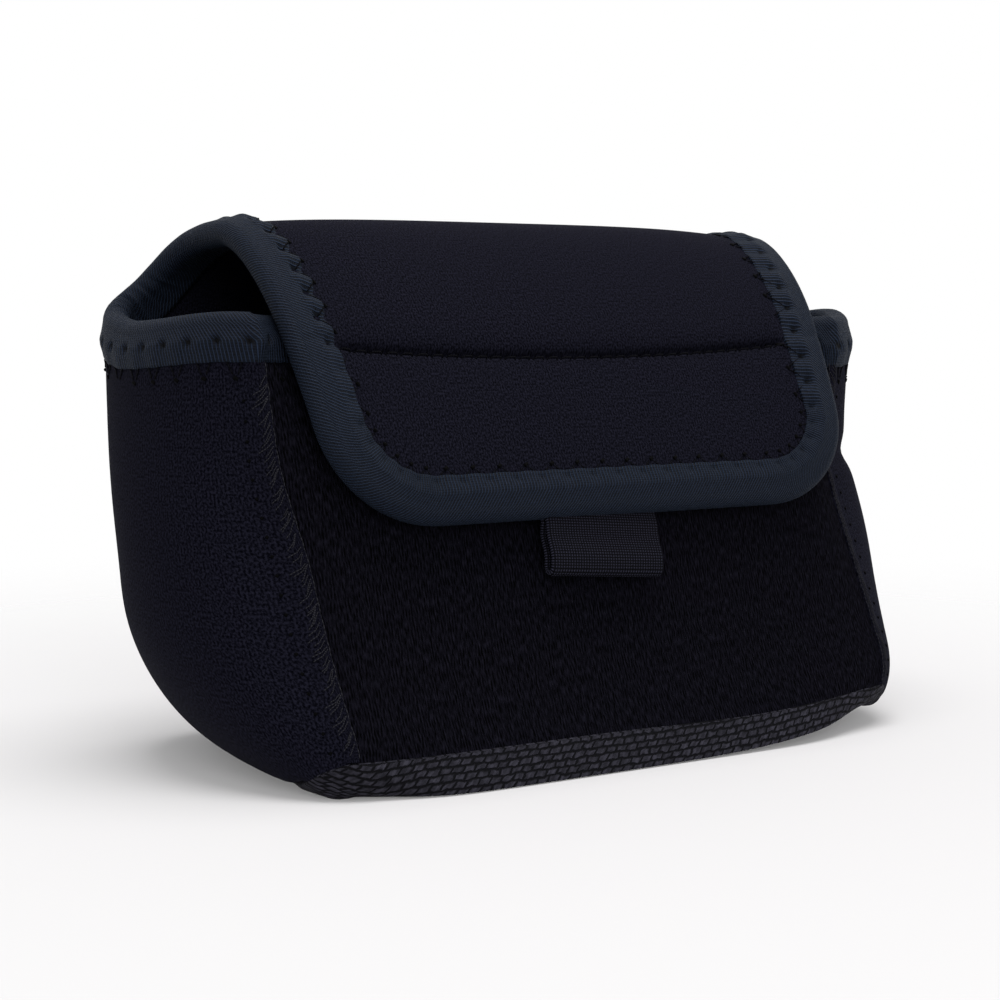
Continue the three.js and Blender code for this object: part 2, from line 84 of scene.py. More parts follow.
# Heights
RIM_HEIGHT = 80.6
LIP_HEIGHT = 7
BELLY_HEIGHT = 33
GRIP_HEIGHT = 60
ARCH_HEIGHT = 99.2
FOOT_TOP = -50  # of the part that the rounding of the foot reaches, down from the rim

# The body's half widths and depths at the foot, the belly, under the flap and at the rim
FRONT_SEAM_X = {"foot": 61.6, "belly": 64, "rim": 65}
FRONT_SEAM_Y = {"foot": -38.6, "belly": -24, "rim": -10.6}
FRONT_MIDDLE_Y = {"foot": -41, "belly": -26.5, "under_flap": -17, "rim": -2.4}
BACK_SEAM_X = {"foot": 45, "belly": 65.5, "rim": 70}
BACK_SEAM_Y = {"foot": 29, "belly": 34, "rim": 35.6}
BACK_MIDDLE_Y = {"foot": 33.5, "belly": 39.5, "rim": 38.6}
SWELL_FRONT = {"foot": 9, "belly": 29, "rim": 20}
SWELL_BACK = {"foot": 12, "belly": 17, "rim": 10}
SWELL_HEADING = {"foot": 62, "belly": 62, "rim": 52}

# The flap from the side, and its half widths to the outside of the binding
ARCH_Y = 14
STITCH_LINE = (-14.8, 76.2)
FLAP_EDGE = (-28.4, 44.8)
FLAP_CORNER = 21
CLOTH_CORNER = FLAP_CORNER - IN_TAPE
FLAP_HALF_WIDTH = 60.6
LEFT_EDGE = {"arch": 60.8, "stitch_line": 60, "edge": 57}
RIGHT_EDGE = {"arch": 68.6, "stitch_line": 61, "edge": 57}
STITCH_LINE_HALF = 53  # half of the sunk line's length
STITCH_LINE_BOW = 2.4  # how far the line hangs lower in the middle


def lerp(a, b, share):
    return a + (b - a) * share


def smoothstep(value, low, high):
    share = np.clip((value - low) / (high - low), 0, 1)
    return share * share * (3 - 2 * share)


def hump(value, middle, width):
    return np.exp(-(((value - middle) / width) ** 2))


def hump_round(w, middle, width):
    """A hump on the way round the body, where w = 4 is w = 0 again."""
    return hump(np.mod(w - middle + 2, 4) - 2, 0, width)


def unit(vectors):
    """The same directions, one long. What has no length keeps none."""
    return vectors / np.maximum(np.linalg.norm(vectors, axis=-1, keepdims=True), 1e-9)


def distances(line):
    """How far along a line of points each one is, or along many lines side by side."""
    steps = np.linalg.norm(np.diff(line, axis=0), axis=-1)
    return np.concatenate([0 * steps[:1], np.cumsum(steps, axis=0)])


def swelling(size, z):
    """A size at height z: rounded in under the belly, then one smooth run up to the rim."""
    below = np.clip(1 - z / BELLY_HEIGHT, 0, 1)
    under = lerp(size["foot"], size["belly"], np.sqrt(1 - below * below))
    over = lerp(size["belly"], size["rim"], smoothstep(z, BELLY_HEIGHT, RIM_HEIGHT))
    return np.where(z < BELLY_HEIGHT, under, over)


def leaning(size, z):
    """A size at height z, on one smooth curve through its given heights."""
    heights = {"foot": 0, "belly": BELLY_HEIGHT, "under_flap": GRIP_HEIGHT, "rim": RIM_HEIGHT}
    total = 0
    for key, value in size.items():
        weight = 1
        for other in size:
            if other != key:
                weight = weight * (z - heights[other]) / (heights[key] - heights[other])
        total = total + value * weight
    return total


def front_skin(u, z):
    turn = 0.12 * u * u + 0.88 * np.abs(u) ** 18
    y = lerp(leaning(FRONT_MIDDLE_Y, z), leaning(FRONT_SEAM_Y, z), turn)
    return np.stack([u * leaning(FRONT_SEAM_X, z), y, z], -1)


def back_skin(u, z):
    turn = 0.2 * u * u + 0.8 * np.abs(u) ** 8
    y = lerp(swelling(BACK_MIDDLE_Y, z), swelling(BACK_SEAM_Y, z), turn)
    return np.stack([u * swelling(BACK_SEAM_X, z), y, z], -1)


def gusset_skin(t, z):
    """The right gusset, from its front seam to its back seam."""
    one = np.ones_like(z)
    front = front_skin(one, z)
    back = back_skin(one, z)
    heading = np.radians(swelling(SWELL_HEADING, z))
    onward = np.stack([np.sin(heading), np.cos(heading), 0 * heading], -1)
    from_back = unit(back - back_skin(0.98 * one, z))
    second = front + onward * swelling(SWELL_FRONT, z)[..., None]
    third = back + from_back * swelling(SWELL_BACK, z)[..., None]
    t = t[..., None]
    r = 1 - t
    return r**3 * front + 3 * r * r * t * second + 3 * r * t * t * third + t**3 * back


def wall(w, z):
    """Outside of the body. w is 0 to 1 along the front, 1 to 2 on the right gusset, 2 to 3 on the back
    and 3 to 4 on the left gusset."""
    w, z = np.broadcast_arrays(np.mod(np.asarray(w, float), 4), np.asarray(z, float))
    piece = np.floor(w)
    share = w - piece
    left = gusset_skin(1 - share, z) * np.array([-1, 1, 1])
    shapes = [front_skin(2 * share - 1, z), gusset_skin(share, z), back_skin(1 - 2 * share, z), left]
    point = np.select([(piece == k)[..., None] for k in range(4)], shapes)
    return worn(point, w, z)


def worn(point, w, z):
    """What use has done to the plain shape: the right gusset flares at its rim over a slight crease, the
    left one swells below its rim and draws in at its foot, the front seams are pulled in, the right one
    half way up and the left one low down, and the rims rise a little towards the front."""
    right = hump_round(w, 1.3, 0.34)
    left = hump_round(w, 3.5, 0.42)
    out_right = 7.2 * smoothstep(z, 51, 76) + 0.8 * hump(z, 38, 12) - 1.9 * hump(z, 52.8, 2.8)
    out_left = 1.0 * hump(z, 52, 18) - 1.0 * smoothstep(z, 70, 80) - 1.7 * (1 - smoothstep(z, 3, 28))
    seam_in = 4.4 * hump_round(w, 1, 0.085) * hump(z, 48, 19)
    seam_in = seam_in - 2.2 * hump_round(w, 4, 0.1) * (1 - smoothstep(z, 36, 58)) * smoothstep(z, 0, 10)
    near_rim = smoothstep(z, 58, 74)
    x = point[..., 0] + right * out_right - left * out_left - seam_in
    rims = 2.1 * hump_round(w, 1.34, 0.22) + 1.2 * hump_round(w, 3.92, 0.24) - 0.6 * hump_round(w, 3.5, 0.22)
    return np.stack([x, point[..., 1], point[..., 2] + near_rim * rims], -1)


# Distances round the rim from the middle of the back, where w is 2.5. They grow to the right.
round_w = np.linspace(-0.5, 6.5, 7001)
round_q = distances(wall(round_w, RIM_HEIGHT))
round_q = np.interp(2.5, round_w, round_q) - round_q


def walk_at(q):
    return np.interp(q, round_q[::-1], round_w[::-1])


def round_at(w):
    return float(np.interp(w, round_w, round_q))


BACK_SEAM = round_at(2)
FRONT_SEAM = round_at(1)
LEFT_BACK_SEAM = round_at(3)
LEFT_FRONT_SEAM = round_at(4)
ROUND_TO_RIGHT = round_at(5)  # the right front seam again, reached by way of the left side
WHOLE_ROUND = FRONT_SEAM - ROUND_TO_RIGHT


def cubic(a, b, c, d):
    """Points along the curve from a to d that b and c pull at."""
    t = np.linspace(0, 1, 300)[:, None]
    a, b, c, d = (np.array(p, float) for p in (a, b, c, d))
    return (1 - t) ** 3 * a + 3 * (1 - t) ** 2 * t * b + 3 * (1 - t) * t * t * c + t**3 * d


def share_point(a, b, share_y, share_z):
    """The point at a share of the way from a to b, in y and in z."""
    return (lerp(a[0], b[0], share_y), lerp(a[1], b[1], share_z))


FOLD = (BACK_MIDDLE_Y["rim"], RIM_HEIGHT)
ARCH = (ARCH_Y, ARCH_HEIGHT)
arch_back = cubic(FOLD, share_point(FOLD, ARCH, 0, 0.72), share_point(FOLD, ARCH, 0.5, 1), ARCH)
arch_front = cubic(
    ARCH, share_point(ARCH, STITCH_LINE, 0.38, 0), share_point(ARCH, STITCH_LINE, 0.8, 0.62), STITCH_LINE
)
front_fall = cubic(
    STITCH_LINE,
    share_point(STITCH_LINE, FLAP_EDGE, 0.42, 0.3),
    share_point(STITCH_LINE, FLAP_EDGE, 0.85, 0.66),
    FLAP_EDGE,
)
profile = np.concatenate([arch_back, arch_front[1:], front_fall[1:]])
profile_s = distances(profile)
ARCH_AT = float(profile_s[299])
STITCH_AT = float(profile_s[598])
FLAP_LENGTH = float(profile_s[-1])
CORNER_AT = FLAP_LENGTH - FLAP_CORNER


def profile_at(s):
    """The flap's line seen from the side, and on straight past its lower end."""
    past = np.maximum(s - FLAP_LENGTH, 0)
    end = unit(profile[-1] - profile[-12])
    y = np.interp(s, profile_s, profile[:, 0]) + past * end[0]
    z = np.interp(s, profile_s, profile[:, 1]) + past * end[1]
    return y, z


def flap_skin(q, s):
    """Outside of the flap: near the fold its sides turn forwards round the gussets, as the rim does, and
    over the arch they hang a little lower than its middle."""
    rim = wall(walk_at(q), RIM_HEIGHT)
    fade = 1 - smoothstep(s, 0, ARCH_AT)
    y, z = profile_at(s)
    ahead_y, ahead_z = profile_at(s + 0.5)
    behind_y, behind_z = profile_at(np.maximum(s - 0.5, 0))
    heading = unit(np.stack([ahead_y - behind_y, ahead_z - behind_z], -1))
    side = np.minimum(np.abs(q) / FLAP_HALF_WIDTH, 1.1) ** 4
    on_arch = smoothstep(s, 4, ARCH_AT) * (1 - smoothstep(s, ARCH_AT, STITCH_AT))
    sag = np.where(q > 0, 1.7, 1.9) * side * on_arch
    x = lerp(q, rim[..., 0], fade)
    y = y + (rim[..., 1] - FOLD[0]) * fade - sag * heading[..., 1]
    z = z + (rim[..., 2] - RIM_HEIGHT) * fade + sag * heading[..., 0]
    return np.stack([x, y, z], -1)


def skin(q, s):
    """Outside of the cloth: q runs round the pouch from the middle of the back, and s runs up from the rim
    and on over the flap."""
    q, s = np.broadcast_arrays(np.asarray(q, float), np.asarray(s, float))
    below = wall(walk_at(q), np.maximum(RIM_HEIGHT + np.minimum(s, 0), 0))
    return np.where((s < 0)[..., None], below, flap_skin(q, np.maximum(s, 0)))


def outward(q, s):
    """The direction straight out of the cloth's face."""
    across = skin(q + 1.2, s) - skin(q - 1.2, s)
    up = skin(q, s + 0.6) - skin(q, s - 0.6)
    return unit(np.cross(up, across))


def rounded_in(rise):
    """A quarter round that falls from 1 to 0 as the rise goes from 0 to 1."""
    rise = np.clip(rise, 0, 1)
    return 1 - np.sqrt(rise * (2 - rise))


def foot_inset(q, s):
    """How far the foot rounds in: a little along the front, further under the gussets and most at the two
    front corners."""
    w = np.mod(walk_at(q), 4)
    z = RIM_HEIGHT + s
    on_front = smoothstep(w, -0.1, 0.02) * (1 - smoothstep(w, 1, 1.1)) + smoothstep(w, 3.9, 4)
    corners = 9 * hump_round(w, 1, 0.12) + 7.5 * hump_round(w, 4, np.where(w < 1, 0.1, 0.15))
    on_gussets = (3 * hump_round(w, 3.72, 0.24) + 6 * hump_round(w, 1.34, 0.22)) * rounded_in(z / 12)
    return on_front * 0.8 * rounded_in(z / 2.2) + corners * rounded_in(z / 14) + on_gussets


def foot_rise(q, s):
    """The soft base curls up under the front right corner, and less and less under the gusset behind it."""
    w = np.mod(walk_at(q), 4)
    curl = hump_round(w, 1, np.where((w > 1) & (w < 3), 0.42, 0.23))
    return 3.6 * curl * (1 - smoothstep(RIM_HEIGHT + s, 0, 30))


def groove_at(q):
    """Where the sunk stitch line crosses the flap."""
    return STITCH_AT + STITCH_LINE_BOW * (1 - (q / STITCH_LINE_HALF) ** 2)


def place(q, s, out):
    """A place at a distance out from the cloth's outside, with the rounded foot and the sunk stitch line,
    which sinks the outer face most and runs out where the binding covers it."""
    q, s, out = np.broadcast_arrays(np.asarray(q, float), np.asarray(s, float), np.asarray(out, float))
    past = s - groove_at(q)
    away = np.abs(past) / np.where(past < 0, 2.4, 1.3)
    in_tape = 1 - 0.92 * smoothstep(np.abs(q), 47.5, 52.5)
    crease = 1.5 * np.exp(-(away**1.2)) + 1.3 * hump(past, 0, 0.6)
    sunk = crease * in_tape * np.clip(1 + out / NEOPRENE, 0, 1) * (s > 30)
    inset = np.where(s < FOOT_TOP, foot_inset(q, s), 0)
    point = skin(q, s)
    middle = unit(np.stack([np.clip(point[..., 0], -38, 38) - point[..., 0], -point[..., 1], 0 * out], -1))
    point = point + outward(q, s) * (out - sunk)[..., None] + middle * inset[..., None]
    point[..., 2] = np.maximum(point[..., 2], 0) + np.where(s < FOOT_TOP, foot_rise(q, s), 0)
    return point


# Meshes


def make_piece(name, points, faces, pattern=None):
    """A smooth mesh from points in millimetres. pattern holds, for each point, the place on the cloth in
    millimetres that its weave or knit is drawn by."""
    mesh = bpy.data.meshes.new(name)
    mesh.from_pydata((np.asarray(points) * 0.001).tolist(), [], [list(f) for f in faces])
    if pattern is not None:
        layer = mesh.attributes.new("pattern", "FLOAT_VECTOR", "POINT")
        layer.data.foreach_set("vector", np.asarray(pattern, np.float32).ravel())
    mesh.polygons.foreach_set("use_smooth", np.ones(len(mesh.polygons), bool))
    mesh.update()
    piece = bpy.data.objects.new(name, mesh)
    bpy.context.scene.collection.objects.link(piece)
    return piece


def loft_faces(rings, size):
    """Faces through closed rings of points. The end caps are ladders, for rings that run out one side and
    come back along the other."""
    i = np.arange(size)
    after = (i + 1) % size
    start = (np.arange(rings - 1) * size)[:, None]
    sides = np.stack([start + i, start + after, start + size + after, start + size + i], -1).reshape(-1, 4)
    k = np.arange(size // 2 - 1)
    rungs = np.stack([k, k + 1, size - 2 - k, size - 1 - k], -1)
    return np.concatenate([sides, rungs[:, ::-1], rungs + (rings - 1) * size])


def loft(name, rings, pattern, first=0, last=None):
    """A closed solid through rings of points, turned so that its faces look out. Where it is only the part
    of a run from its first ring to its last, its shading is that of the whole run, so that parts meet
    without a line."""
    rings = np.asarray(rings)
    last = len(rings) - 1 if last is None else last
    normals = unit(np.cross(np.roll(rings, -1, 1) - np.roll(rings, 1, 1), np.gradient(rings, axis=0)))
    whole = last - first == len(rings) - 1
    rings, normals = rings[first : last + 1], normals[first : last + 1]
    pattern = np.asarray(pattern)[first : last + 1]
    points = rings.reshape(-1, 3)
    faces = loft_faces(len(rings), rings.shape[1])
    if signed_volume(points, faces) < 0:
        faces, normals = faces[:, ::-1], -normals
    piece = make_piece(name, points, faces, pattern.reshape(-1, 3))
    if not whole:
        piece.data.normals_split_custom_set_from_vertices(normals.reshape(-1, 3).tolist())
    return piece


def signed_volume(points, faces):
    """Below zero where the faces of a closed shape look in."""
    corners = points[faces]
    first = np.einsum("ij,ij->i", corners[:, 0], np.cross(corners[:, 1], corners[:, 2]))
    second = np.einsum("ij,ij->i", corners[:, 0], np.cross(corners[:, 2], corners[:, 3]))
    return float((first + second).sum())


def spread(start, end, step, ends=(0.12, 0.4, 0.8, 1.3, 2)):
    """Places from start to end, closer together at both ends."""
    length = abs(end - start)
    inner = np.linspace(ends[-1], length - ends[-1], max(int((length - 2 * ends[-1]) / step), 1) + 1)
    far = [length - d for d in reversed(ends[:-1])]
    places = np.concatenate([[0], ends[:-1], inner, far, [length]])
    return start + np.sign(end - start) * places


def edge_drop(distance, rounding=EDGE_ROUND):
    """How far a rounded edge has dropped at a distance in from it."""
    near = np.clip(1 - distance / rounding, 0, 1)
    return rounding * (1 - np.sqrt(1 - near * near))


def two_faced(outer, inner, q, s):
    """Rings and pattern of a sheet, out along one face and back along the other."""
    face = np.stack([q, s, 0 * q], -1)
    return np.concatenate([outer, inner[:, ::-1]], axis=1), np.concatenate([face, face[:, ::-1]], axis=1)


def cloth_rings(q, s):
    """Rings and pattern of a sheet of neoprene over a grid of places in rows along s, with rounded edges."""
    to_side = np.minimum(np.abs(q - q[:, :1]), np.abs(q - q[:, -1:]))
    to_end = np.minimum(np.abs(s - s[:1]), np.abs(s - s[-1:]))
    drop = np.maximum(edge_drop(to_side), edge_drop(to_end))
    return two_faced(place(q, s, -drop), place(q, s, drop - NEOPRENE), q, s)


# Paths of the bound edge, as places (q, s), each from the front seam to the back along the rim, up round
# the back corner, over the arch and down to the middle of the flap's lower edge


def even(path, step):
    """The same path in equal steps."""
    along = distances(path)
    at = np.linspace(0, along[-1], int(along[-1] / step) + 1)
    return np.stack([np.interp(at, along, path[:, k]) for k in range(2)], -1)


def through(points, step):
    """A smooth path by way of points, in equal steps."""
    path = even(np.array(points, float), 0.25)
    easing = 14  # of those steps, on both sides of a turn
    weights = np.hanning(2 * easing + 1)
    weights /= weights.sum()
    start, end = path[0], path[-1]
    padded = np.concatenate([2 * start - path[easing:0:-1], path, 2 * end - path[-2 : -easing - 2 : -1]])
    path = np.stack([np.convolve(padded[:, k], weights, "valid") for k in range(2)], -1)
    return even(path, step)


def bound_edge(widths, front_seam, back_seam, side):
    """The outer edge of the binding on one side, with all distances round the rim taken as positive."""
    slope = (widths["edge"] - widths["stitch_line"]) / (FLAP_LENGTH - STITCH_AT)
    corner_x = widths["stitch_line"] + slope * (CORNER_AT - STITCH_AT) - FLAP_CORNER
    angles = np.linspace(0, math.pi / 2, 16)
    corner = [(corner_x + FLAP_CORNER * math.cos(a), CORNER_AT + FLAP_CORNER * math.sin(a)) for a in angles]
    beside_back = back_seam - 7.4
    points = [
        (front_seam, 0),
        (lerp(front_seam, back_seam, 0.25), 0),
        (lerp(front_seam, back_seam, 0.5), 0),
        (back_seam + 20, 0),
        (back_seam + 7.8, 1.3),
        (back_seam + 1.2, 4.2),
        (back_seam - 3.2, 7.7),
        (back_seam - 5.9, 12),
        (beside_back, 16.8),
        (lerp(beside_back, widths["arch"], 0.7), 24),
        (widths["arch"], ARCH_AT),
        (lerp(widths["arch"], widths["stitch_line"], 0.5), lerp(ARCH_AT, STITCH_AT, 0.5)),
        (widths["stitch_line"], STITCH_AT),
        *corner,
        (corner_x * 0.5, FLAP_LENGTH),
        (0, FLAP_LENGTH),
    ]
    return through(points, TAPE_STEP) * [side, 1]


left_edge = bound_edge(LEFT_EDGE, -LEFT_FRONT_SEAM, -LEFT_BACK_SEAM, -1)
right_edge = bound_edge(RIGHT_EDGE, FRONT_SEAM, BACK_SEAM, 1)


def way_in(path, side):
    """The direction from each place on a bound edge into the cloth."""
    heading = unit(np.gradient(path, axis=0))
    return np.stack([-side * heading[:, 1], side * heading[:, 0]], -1)


def index_of(path, value, axis):
    """The first place on a path at which q (axis 0) falls to a value in size, or s (axis 1) rises to it."""
    if axis == 0:
        return int(np.argmax(np.abs(path[:, 0]) <= value))
    return int(np.argmax(path[:, 1] >= value))


# How the tape is sewn, at these distances s along its edge, on the left and on the right. The right side is
# flatter and wider.
LOOKS_AT = [0, 4, 14, ARCH_AT, STITCH_AT - 4, STITCH_AT + 6]
LEFT_LOOKS = {
    "full": [0.1, 0.2, 0.3, 0.5, 0.45, 0.1],  # height of the lumps between the stitches
    "dimple": [0.8, 0.8, 0.8, 1.1, 1.1, 0.3],  # depth of the needle dimples
    "hole": [5.2, 5.5, 6.2, 6.6, 6.6, 7.6],  # how far in from the fold they lie
    # shade: how dark the painted shade in the needle holes is
    "shade": [1.0, 0.9, 0.8, 0.9, 0.9, 0.2],  # how dark they look
    "crowded": [0.0, 1.0, 0.2, 0.0, 0.0, 0.0],  # how wrinkled the fold is
    "reach": [11.2, 10.4, 9.6, 9.3, 9.3, 9.9],  # how far in from the fold the stitches reach
    "scallop": [0.12, 0.15, 0.15, 0.2, 0.2, 0.12],  # how far the stitches pull the sewn edge
    "proud": [0.04, 0.04, 0.04, 0.02, 0.02, -0.12],  # of the thread over the tape and the cloth
    "buried": [0.4, 0.3, 0.0, 0.0, 0.0, 0.3],  # of the thread in the tape
    "wide": [1.0, 1.0, 1.0, 1.0, 1.0, 1.0],  # times the plain width
}
RIGHT_LOOKS = {
    **LEFT_LOOKS,
    "full": [0.1, 0.2, 0.15, 0.12, 0.35, 0.1],
    "dimple": [0.8, 0.8, 0.6, 0.55, 1.0, 0.3],
    "hole": [5.2, 5.2, 5.2, 5.2, 6.2, 7.6],
    "shade": [1.0, 0.9, 0.7, 0.6, 0.9, 0.2],
    "reach": [11.2, 10.4, 10.2, 10.2, 9.7, 9.9],
    "scallop": [0.12, 0.12, 0.1, 0.1, 0.2, 0.12],
    "buried": [0.4, 0.4, 0.4, 0.4, 0.1, 0.3],
    "wide": [1.2, 1.2, 1.2, 1.3, 1.1, 1.0],
}


def looks_at(q, s):
    """How the tape is sewn at a place. On the right of the flap, what the tables give for the stitch line
    goes on further down."""
    on_right = (q > 0) | (q < ROUND_TO_RIGHT + 4)
    at = s - np.where(q > 0, 13, 0) * smoothstep(s, STITCH_AT - 6, STITCH_AT + 13)
    looks = {}
    for key, left in LEFT_LOOKS.items():
        right = np.interp(at, LOOKS_AT, RIGHT_LOOKS[key])
        looks[key] = np.where(on_right, right, np.interp(at, LOOKS_AT, left))
    return looks


def tape_lift(stitch, depth, looks):
    """Height of the tape over the cloth's face. Past its sewn edge it is the cloth's own height."""
    at = [2.5, 4, 5.3, 6.3, 7.6, 8.5, TAPE_WIDTH, 9.3]
    rise = np.interp(depth, at, [0.9, 1.15, 1.4, 1.15, 0.65, 0.4, 0.25, 0.05])
    share = np.mod(stitch, 1)
    full = looks["full"] * np.cos(2 * math.pi * share) * smoothstep(depth, 4.2, 6.6) * (depth < 8.9)
    away = (share - 0.5) * STITCH_PITCH / 0.75
    hole = looks["dimple"] * np.exp(-(away**2) - ((depth - looks["hole"]) / 0.75) ** 2)
    return rise + full - hole


class Run:
    """A stretch of binding, sewn with a whole number of zigzag stitches between two of its stations."""

    def __init__(self, path, side, first, last):
        self.path, self.first, self.last = path, first, last
        self.inward = way_in(path, side)
        along = distances(skin(path[:, 0], path[:, 1]))
        self.along = along - along[first]
        length = self.along[last]
        self.stitch = self.along * round(length / STITCH_PITCH) / length

    def on_face(self, stitch, depth, over):
        """A place at a height over the tape's face."""
        q, s, in_q, in_s = (
            np.interp(stitch, self.stitch, values)
            for values in (self.path[:, 0], self.path[:, 1], self.inward[:, 0], self.inward[:, 1])
        )
        looks = looks_at(q, s)
        out = tape_lift(stitch, depth, looks) + over
        reach = depth * looks["wide"]
        return place(q + in_q * reach, s + in_s * reach, out)

    def tape(self):
        """Rings and pattern of the tape, whose section runs in along the outside, round the fold and back
        along the inside. The pattern's third value is the painted shade in the needle holes."""
        radius = (NEOPRENE + 1.8) / 2
        turned_in = 8.7  # both cut edges bend in to the cloth here
        turn = np.linspace(0, math.pi, 15)[1:-1]
        outside = [(0.0, depth) for depth in np.linspace(TAPE_WIDTH, radius, 18)]
        fold = [(-NEOPRENE / 2 + radius * math.cos(a), radius - radius * math.sin(a)) for a in turn]
        inside = [(-NEOPRENE - 0.9, depth) for depth in np.linspace(radius, TAPE_WIDTH, 8)]
        ends = [(-NEOPRENE + 0.6, turned_in), (-NEOPRENE / 2, turned_in)]
        section = np.array([(-0.6, turned_in), *outside, *fold, *inside, *ends])
        number = np.arange(len(section))
        on_outside = number < 1 + len(outside)
        depth = np.broadcast_to(section[:, 1], (len(self.path), len(section)))
        looks = {key: value[:, None] for key, value in looks_at(self.path[:, 0], self.path[:, 1]).items()}
        stitch = self.stitch[:, None]
        face = slice(1, 1 + len(outside))
        out = np.broadcast_to(section[:, 0], depth.shape).copy()
        out[:, face] = tape_lift(stitch, depth[:, face], looks)
        scallop = looks["scallop"] * (0.5 - 0.5 * np.cos(2 * math.pi * stitch))
        pulled = scallop * smoothstep(depth, 5, TAPE_WIDTH)
        depth = depth - pulled * on_outside
        ripple = np.sin(2 * math.pi * stitch * 2.3) + 0.6 * np.sin(2 * math.pi * stitch * 3.7 + 1)
        crease = 0.3 * looks["crowded"] * ripple * (1 - smoothstep(depth, 4, 8)) * smoothstep(-out, 0.5, 3.5)
        from_middle = unit(np.stack([out + NEOPRENE / 2, np.minimum(depth - radius, 0)], -1))
        out = out + crease * from_middle[..., 0]
        depth = depth + crease * from_middle[..., 1]
        reach = depth * np.where(on_outside, looks["wide"], 1)
        q = self.path[:, :1] + self.inward[:, :1] * reach
        s = self.path[:, 1:] + self.inward[:, 1:] * reach
        around = distances(section)
        slant = np.interp(around, [0, 4.2, 30], [0, 0.4, 19])
        away = (np.mod(stitch, 1) - 0.5) * STITCH_PITCH / 0.5
        # Painted shade: the tape's colour is darkened at each needle hole.
        hole = 1.8 * looks["shade"] * np.exp(-(away**2) - ((depth - looks["hole"]) / 0.5) ** 2)
        rib = self.along[:, None] + slant
        pattern = np.stack([rib, np.broadcast_to(around, rib.shape), hole * (on_outside & (number > 0))], -1)
        return place(q, s, out), pattern


# Colour and material


def colour(code):
    """Linear colour of an sRGB hex code."""
    parts = [int(code[i : i + 2], 16) / 255 for i in (1, 3, 5)]
    return (*[c / 12.92 if c <= 0.04045 else ((c + 0.055) / 1.055) ** 2.4 for c in parts], 1)


def add_node(tree, kind, inputs=None, **settings):
    """A shader node with its settings, and values or links on its inputs."""
    made = tree.nodes.new("ShaderNode" + kind)
    for name, value in settings.items():
        setattr(made, name, value)
    for name, value in (inputs or {}).items():
        if isinstance(value, bpy.types.NodeSocket):
            tree.links.new(value, made.inputs[name])
        else:
            made.inputs[name].default_value = value
    return made


def new_material(name):
    """A material, and the place in millimetres that its pattern is drawn by."""
    material = bpy.data.materials.new(name)
    material.use_nodes = True
    tree = material.node_tree
    shader = tree.nodes["Principled BSDF"]
    at = add_node(tree, "Attribute", attribute_name="pattern").outputs["Vector"]
    return material, tree, shader, at


def wave_scale(pitch):
    """The Scale of a wave texture whose bands repeat at a pitch in millimetres."""
    return math.pi / 10 / pitch


def finish_cloth(tree, shader, height, dark, light, deep, roughness, shine, sheen=None):
    """Colour from dark in the gaps of the weave to light on the yarn, with the relief in metres. sheen is the
    roughness and the tint of a fine nap."""
    ramp = add_node(tree, "MixRGB", {0: height, 1: colour(dark), 2: colour(light)})
    bump = add_node(tree, "Bump", {"Height": height, "Distance": deep, "Strength": 1.0})
    tree.links.new(ramp.outputs[0], shader.inputs["Base Color"])
    tree.links.new(bump.outputs[0], shader.inputs["Normal"])
    feel = {"Roughness": roughness, "Specular IOR Level": shine}
    if sheen:
        feel |= {"Sheen Weight": 0.03, "Sheen Roughness": sheen[0], "Sheen Tint": colour(sheen[1])}
    for name, value in feel.items():
        shader.inputs[name].default_value = value
    return ramp


def jersey(name, dark, light):
    """Neoprene faced with fine nylon jersey: matt, uneven at the scale of the yarn, with hardly any shine.
    Its loops, 0.4 mm across, are too fine to show and are drawn half as large again."""
    material, tree, shader, at = new_material(name)
    wobble = add_node(tree, "TexNoise", {"Vector": at, "Scale": 0.9, "Detail": 3.0}).outputs["Color"]
    moved = add_node(tree, "MixRGB", {0: 0.6, 1: at, 2: wobble}, blend_type="ADD").outputs[0]
    wales = add_node(tree, "TexWave", {"Vector": moved, "Scale": wave_scale(0.6)}).outputs["Fac"]
    courses = add_node(
        tree, "TexWave", {"Vector": moved, "Scale": wave_scale(0.55)}, bands_direction="Y"
    ).outputs["Fac"]
    stretched = add_node(tree, "Mapping", {"Vector": at, "Scale": (1.0, 0.6, 1.0)}).outputs[0]
    fuzz = add_node(tree, "TexNoise", {"Vector": stretched, "Scale": 3.4, "Detail": 2.0}).outputs["Fac"]
    fuzz = add_node(tree, "MapRange", {0: fuzz, 1: 0.42, 2: 0.6}).outputs[0]
    knit = add_node(tree, "MixRGB", {0: 0.3, 1: wales, 2: courses}).outputs[0]
    height = add_node(tree, "MixRGB", {0: 0.7, 1: knit, 2: fuzz}).outputs[0]
    finish_cloth(tree, shader, height, dark, light, 0.0001, 0.9, 0.03, (0.5, "#7a7a90"))
    return material


def brushed_pile():
    """Loop pile brushed downwards: the blackest surface, broken up by fine upright streaks of 0.5 mm."""
    material, tree, shader, at = new_material("brushed_loop_pile")
    wobble = add_node(tree, "TexNoise", {"Vector": at, "Scale": 0.5, "Detail": 3.0}).outputs["Color"]
    moved = add_node(tree, "MixRGB", {0: 1.0, 1: at, 2: wobble}, blend_type="ADD").outputs[0]
    wales = add_node(tree, "TexWave", {"Vector": moved, "Scale": wave_scale(0.56)}).outputs["Fac"]
    stretched = add_node(tree, "Mapping", {"Vector": at, "Scale": (1.0, 0.2, 1.0)}).outputs[0]
    nap = add_node(tree, "TexNoise", {"Vector": stretched, "Scale": 3.2, "Detail": 2.0}).outputs["Fac"]
    nap = add_node(tree, "MapRange", {0: nap, 1: 0.4, 2: 0.66}).outputs[0]
    height = add_node(tree, "MixRGB", {0: 0.3, 1: nap, 2: wales}).outputs[0]
    finish_cloth(tree, shader, height, "#000000", "#1c1b25", 0.0003, 0.95, 0.02)
    return material


